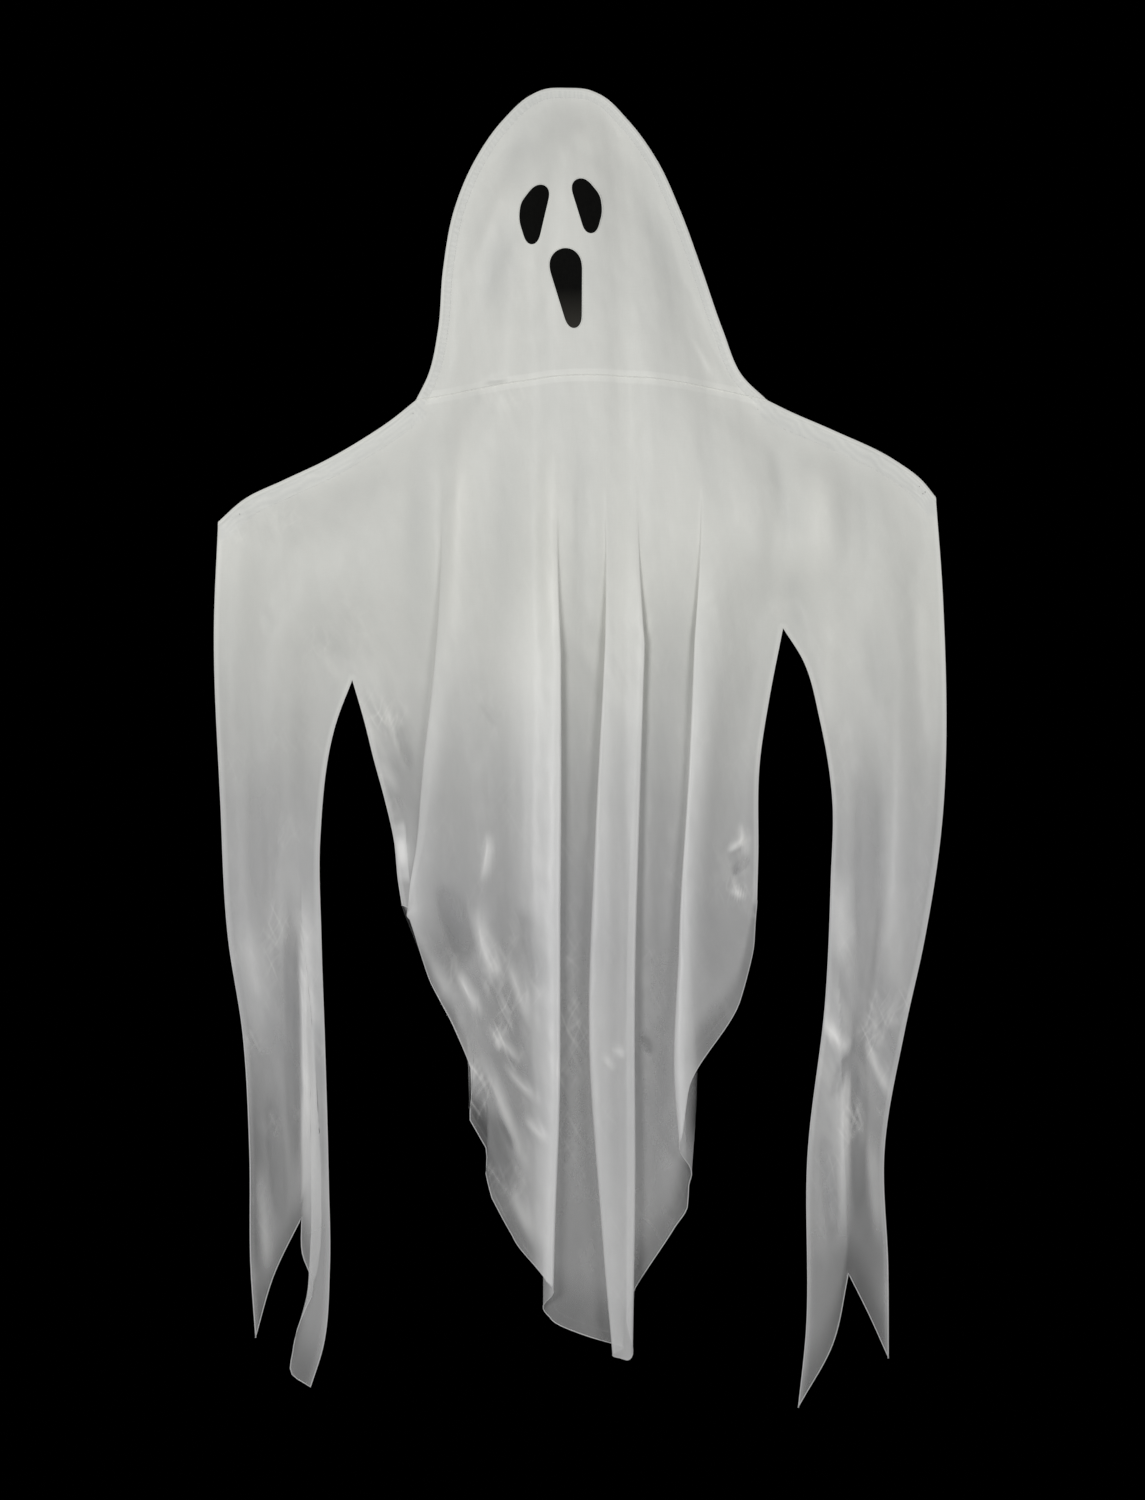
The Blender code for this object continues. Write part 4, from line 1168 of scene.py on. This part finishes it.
def sheer_cloth():
    """Thin shiny woven cloth: warm white above, cooler and a little darker below, partly painted shade;
    painted glints and shade where crumpled; slubs along the threads.
    """
    material, tree, shader = finish("sheer_woven_cloth", {"Sheen Weight": 0.15, "Sheen Roughness": 0.4,
                                                         "Specular IOR Level": 0.35})
    low = passing(tree, object_height(tree), -0.75, -1.35)
    clouds = noise(tree, (1, 1, 1), 14.0, 3.0)
    tone = stored(tree, "tone") + (clouds - 0.5) * 0.16
    # Darker and cooler towards the bottom: partly a tint of the cloth, partly painted shade where less
    # light reaches the lower gown
    light = blend_colours(tree, low, (0.84, 0.84, 0.78, 1), (0.80, 0.795, 0.77, 1))
    grey = blend_colours(tree, low, (0.59, 0.60, 0.57, 1), (0.53, 0.54, 0.555, 1))
    # Crumpled places: painted glints along long lines that lean both ways, with painted soft rumple shade
    # between them
    crumple = stored(tree, "crumple")
    lines = (ridge_lines(tree, (1, 1, 0.14), 48.0, 13.0, -0.44) * 0.7
             + ridge_lines(tree, (1, 1, 0.20), 60.0, 12.0, 0.50) * 0.5)
    patches = passing(tree, noise(tree, (1, 1, 0.7), 15.0, 1.0), 0.50, 0.66)
    glints = lines * patches * crumple
    rumple_shade_and_cover = (noise(tree, (1, 1, 0.25), 40.0, 2.0, -0.40) - 0.5) * crumple
    shaded = blend_colours(tree, tone + rumple_shade_and_cover * 0.8 - glints * 0.4, light, grey)
    # Threads down and across the cloth
    weave = noise(tree, (1, 1, 0.05), 800.0, 1.0) * 0.5 + noise(tree, (0.05, 1, 1), 700.0, 1.0) * 0.5
    hides = stored(tree, "cover")
    alpha = hides * (0.96 + weave * 0.08 - rumple_shade_and_cover * 0.5) + glints * (1.0 - hides) * 0.4
    height_map = weave + noise(tree, (1, 1, 0.6), 160.0, 2.0) * 0.6
    feed(tree, shader, Base_Color=shaded, Roughness=0.44 - low * 0.14 + clouds * 0.12, Alpha=alpha,
         Normal=relief(tree, 0.12, 0.0006, height_map))
    return material


def stitch_thread():
    """White sewing thread with the twist across it."""
    material, tree, shader = finish("sewing_thread", {"Sheen Weight": 0.1})
    twist = noise(tree, (1, 1, 1), 2500.0, 1.0)
    colour = blend_colours(tree, twist, (0.86, 0.86, 0.83, 1), (0.62, 0.62, 0.60, 1))
    feed(tree, shader, Base_Color=colour, Roughness=0.45 + twist * 0.2,
         Normal=relief(tree, 0.3, 0.0002, twist))
    return material


def black_cloth():
    """Dull black woven cloth behind the face openings, with painted light making it a little lighter at the
    foot of the mouth.
    """
    material, tree, shader = finish("dull_black_cloth", {"Specular IOR Level": 0.05})
    threads = noise(tree, (1, 1, 0.1), 600.0, 2.0) * 0.5 + noise(tree, (0.1, 1, 1), 600.0, 2.0) * 0.5
    # Painted light: the black turns lighter towards the foot of the mouth, where light reaches into the
    # opening
    low = passing(tree, object_height(tree), -0.33, -0.42, "LINEAR")
    dark = blend_colours(tree, threads, (0.002, 0.002, 0.002, 1), (0.007, 0.007, 0.006, 1))
    colour = blend_colours(tree, low, dark, (0.045, 0.043, 0.036, 1))
    feed(tree, shader, Base_Color=colour, Roughness=0.84 + threads * 0.12,
         Normal=relief(tree, 0.3, 0.0006, threads))
    return material


def drawn_steel():
    """Bare drawn wire, a little dull, with fine die marks and darker spots."""
    material, tree, shader = finish("drawn_steel_wire", {"Metallic": 1.0})
    spots = noise(tree, (1, 1, 1), 60.0, 4.0)
    marks = noise(tree, (1, 1, 1), 900.0, 2.0)
    colour = blend_colours(tree, spots, (0.56, 0.56, 0.55, 1), (0.38, 0.37, 0.36, 1))
    feed(tree, shader, Base_Color=colour, Roughness=0.28 + spots * 0.20,
         Normal=relief(tree, 0.15, 0.0003, marks))
    return material


def stitch_rows(material):
    """Short stitches along the casing line of the arch and the shoulders, on the front and the back."""
    centres, runs = [], []
    for name in CASING_EDGES:
        width = ARCH_CASING if name == "arch" else SHOULDER_CASING
        fine = along(line[name], np.linspace(0, 1, STITCH_SAMPLES))
        run, inward = running(fine, INWARD[name])
        seam = fine + width * inward
        walked = lengths(seam)
        at = np.arange(width, walked[-1] - width, STITCH_PITCH)
        centres.append(at_lengths(seam, walked, at))
        runs.append(at_lengths(run, walked, at))
    centres, runs = np.concatenate(centres), np.concatenate(runs)
    halves = STITCH_LENGTH / 2 * runs
    start = front_at(centres - halves)
    middle = front_at(centres, STITCH_RADIUS)
    end = front_at(centres + halves)
    across = np.column_stack((runs[:, 1], 0 * runs[:, 0], -runs[:, 0])) * STITCH_RADIUS
    out = np.array((0.0, -STITCH_RADIUS, 0.0))
    rings = [np.stack((p - across, p + out, p + across, p - out), axis=1) for p in (start, middle, end)]
    points = np.stack(rings, axis=1).reshape(-1, 3)
    each = 3 * 4
    numbers = np.arange(each).reshape(3, 4)
    sides = grid_quads(np.column_stack((numbers, numbers[:, 0])))
    one = np.concatenate((sides, [numbers[0], numbers[2][::-1]]))
    quads = (np.arange(len(centres))[:, None, None] * each + one).reshape(-1, 4)
    mesh = cloth_mesh("casing_stitches", points, quads, np.ones(len(points)))
    return piece("casing_stitches", mesh, material)


def face_patch(material):
    """Black cloth just behind the openings, in one piece that reaches past each of them."""
    shapes = [opening_outline(circles, FACE_MARGIN) for circles in (LEFT_EYE, RIGHT_EYE, MOUTH)]
    both = np.concatenate(shapes)
    low, high = both.min(axis=0), both.max(axis=0)
    across = np.linspace(low[0], high[0], PATCH_COLUMNS)
    down = np.linspace(high[1], low[1], PATCH_ROWS)
    flat = np.stack(np.meshgrid(across, down), axis=-1)
    from_middle = 2 * np.abs(flat[..., 1] - flat[..., 1].mean()) / (high[1] - low[1])
    corner = smooth_step((from_middle - 0.2) / 0.8)
    middle = (low[0] + high[0]) / 2
    flat[..., 0] = middle + (flat[..., 0] - middle) * (1 - PATCH_TAPER * corner)
    solid = front_at(flat.reshape(-1, 2), -FACE_BACKING_GAP)
    quads = grid_quads(np.arange(len(solid)).reshape(flat.shape[:2]))
    mesh = cloth_mesh("face_patch", solid, quads, np.ones(len(solid)))
    return piece("face_patch", mesh, material)


def lamp(name, spot, aim, size, power):
    """Soft area lamp turned towards a point."""
    data = bpy.data.lights.new(name, "AREA")
    data.shape = "DISK"
    data.size = size
    data.energy = power
    made = placed(name, data)
    away = np.array(spot) - np.array(aim)
    made.location = spot
    made.rotation_euler = (math.atan2(math.hypot(away[0], away[1]), away[2]), 0.0,
                           math.atan2(away[0], -away[1]))


def hems(name, grids, share):
    """Rolled hems of one layer of the gown as one piece."""
    rolled = [hem_roll(grid[-1], grid[-2]) for grid in grids.values()]
    return rolls_piece(name, rolled, [share] * len(rolled), cloth)


FRONT_SEED = 11
BACK_SEED = 31
cloth = sheer_cloth()
thread = stitch_thread()

gown_front, front_grids = gown_layer("gown_front", -1, GOWN_STATIONS, FRONT_PLEATS, 1.0, GOWN_COLUMNS,
                                     SOFT_FOLDS, GOWN_CREASES, FRONT_SEED, cloth)
gown_back, back_grids = gown_layer("gown_back", 1, BACK_STATIONS, BACK_PLEATS, BACK_SHORTER,
                                   BACK_COLUMNS, BACK_FOLDS, (), BACK_SEED, cloth)
hood_front_cloth = hood_layer("hood_front_cloth", -1, SOFT_FOLDS, HOOD_CREASES, FRONT_SEED, cloth, True)
hood_back_cloth = hood_layer("hood_back_cloth", 1, BACK_FOLDS, (), BACK_SEED, cloth, False)
backing = face_patch(black_cloth())
gown_hems = hems("gown_hems", front_grids, HEM_COVER)
back_gown_hems = hems("back_gown_hems", back_grids, BACK_HEM_COVER)

seam_tubes, seam_covers = [], []
for name, toward in INWARD.items():
    fine = along(line[name], np.linspace(0, 1, SEAM_POINTS))
    seam_tubes.append(flat_seam(fine, SEAM_RADIUS, toward))
    one_layer = np.interp(fine[:, 1], COVER_HEIGHTS, COVER_SHARES)
    seam_covers.append(np.repeat(1 - (1 - one_layer) ** SEAM_ROLLED_LAYERS, TUBE_SIDES))
edge_seams = rolls_piece("edge_seams", seam_tubes, seam_covers, cloth)

neck_line = front_at(along(line["neck"], np.linspace(0, 1, NECK_POINTS)), NECK_PROUD)
neck_run = unit(np.gradient(neck_line, axis=0))
neck_out = unit(np.cross(neck_run, (0.0, 0.0, 1.0)))
# Its thickness goes up and down in two beats, as gathered cloth does
count = np.arange(NECK_POINTS)
neck_radius = NECK_SEAM_RADIUS * (1 + 0.25 * np.sin(count * 1.3) * np.sin(count * 0.37))
neck_roll = roll(neck_line, np.cross(neck_out, neck_run), neck_out, neck_radius)
neck_seam = rolls_piece("neck_seam", [neck_roll], [1.0], cloth)

rims = []
for circles in (LEFT_EYE, RIGHT_EYE, MOUTH):
    rim = front_at(opening_outline(circles, OPENING_GROWTH), RIM_PROUD)
    looped = np.concatenate((rim[-1:], rim, rim[:1]))
    run = unit(np.gradient(looped, axis=0)[1:-1])
    facing = np.tile((0.0, -1.0, 0.0), (len(rim), 1))
    outward = unit(np.cross(facing, run))
    rims.append(roll(rim, outward, facing, RIM_RADIUS, closed=True))
face_rims = rolls_piece("face_rims", rims, [RIM_COVER] * len(rims), cloth)
casing_stitches = stitch_rows(thread)

# Each sheet: the solid it stands for, flat width and length, area, what it rests on and what is on it
for sheet, solid, flat, area, rest, on_it in (
        (gown_front, "body_front", (1.40, 1.75), 1.60, "shoulder_bow", [gown_hems, edge_seams, neck_seam]),
        (gown_back, "body_back", (1.30, 1.72), 1.32, "shoulder_bow", [back_gown_hems]),
        (hood_front_cloth, "hood_front", (0.60, 0.52), 0.18, "hood_hoop", [face_rims, casing_stitches]),
        (hood_back_cloth, "hood_back", (0.60, 0.52), 0.19, "hood_hoop", ()),
        (backing, "face_backing", (0.16, 0.28), None, hood_front_cloth, ())):
    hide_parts(solid)

steel = drawn_steel()
for name in ("hood_hoop", "shoulder_bow"):
    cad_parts[name].data.materials.clear()
    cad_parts[name].data.materials.append(steel)

ground = bpy.data.meshes.new("floor")
turn = np.arange(FLOOR_SIDES) * math.tau / FLOOR_SIDES
ring = np.column_stack((FLOOR_RADIUS * np.cos(turn), FLOOR_RADIUS * np.sin(turn), 0 * turn + FLOOR_HEIGHT))
ground.from_pydata(ring.tolist(), [], [list(range(FLOOR_SIDES))])
floor = placed("floor", ground)
floor_paint, floor_tree, floor_shader = finish("pale_floor", {"Roughness": 0.8})
feed(floor_tree, floor_shader, Base_Color=blend_colours(floor_tree, noise(floor_tree, (1, 1, 1), 6.0),
                                                        (0.78, 0.78, 0.77, 1), (0.72, 0.72, 0.71, 1)))
ground.materials.append(floor_paint)

for name, (spot_at, size, power) in LAMPS.items():
    lamp(name, spot_at, LAMP_AIM, size, power)

world = bpy.data.worlds.new("dark_room")
world.use_nodes = True
bpy.context.scene.world = world
sky = world.node_tree
back_light = sky.nodes["Background"]
# Black where it is seen, mirrored or looked at through glass, dim grey where it lights the cloth
camera_ray, mirrored, refracted = (node(sky, "ShaderNodeLightPath", {}, {}, k) for k in (0, 3, 6))
seen = node(sky, "ShaderNodeMath", {"operation": "ADD", "use_clamp": True},
            {0: camera_ray + mirrored, 1: refracted})
room = blend_colours(sky, seen, DIM_ROOM, BLACK)
sky.links.new(room.socket, back_light.inputs["Color"])

lens = bpy.data.cameras.new("photo_camera")
lens.sensor_width = SENSOR
lens.lens = SENSOR * CAMERA_DISTANCE / VIEW_HEIGHT
camera = placed("photo_camera", lens)
camera.location = (VIEW_CENTRE[0], -CAMERA_DISTANCE, VIEW_CENTRE[1])
camera.rotation_euler = (math.pi / 2, 0.0, 0.0)
bpy.context.scene.camera = camera
bpy.context.scene.view_settings.view_transform = "Standard"

bpy.context.view_layer.update()
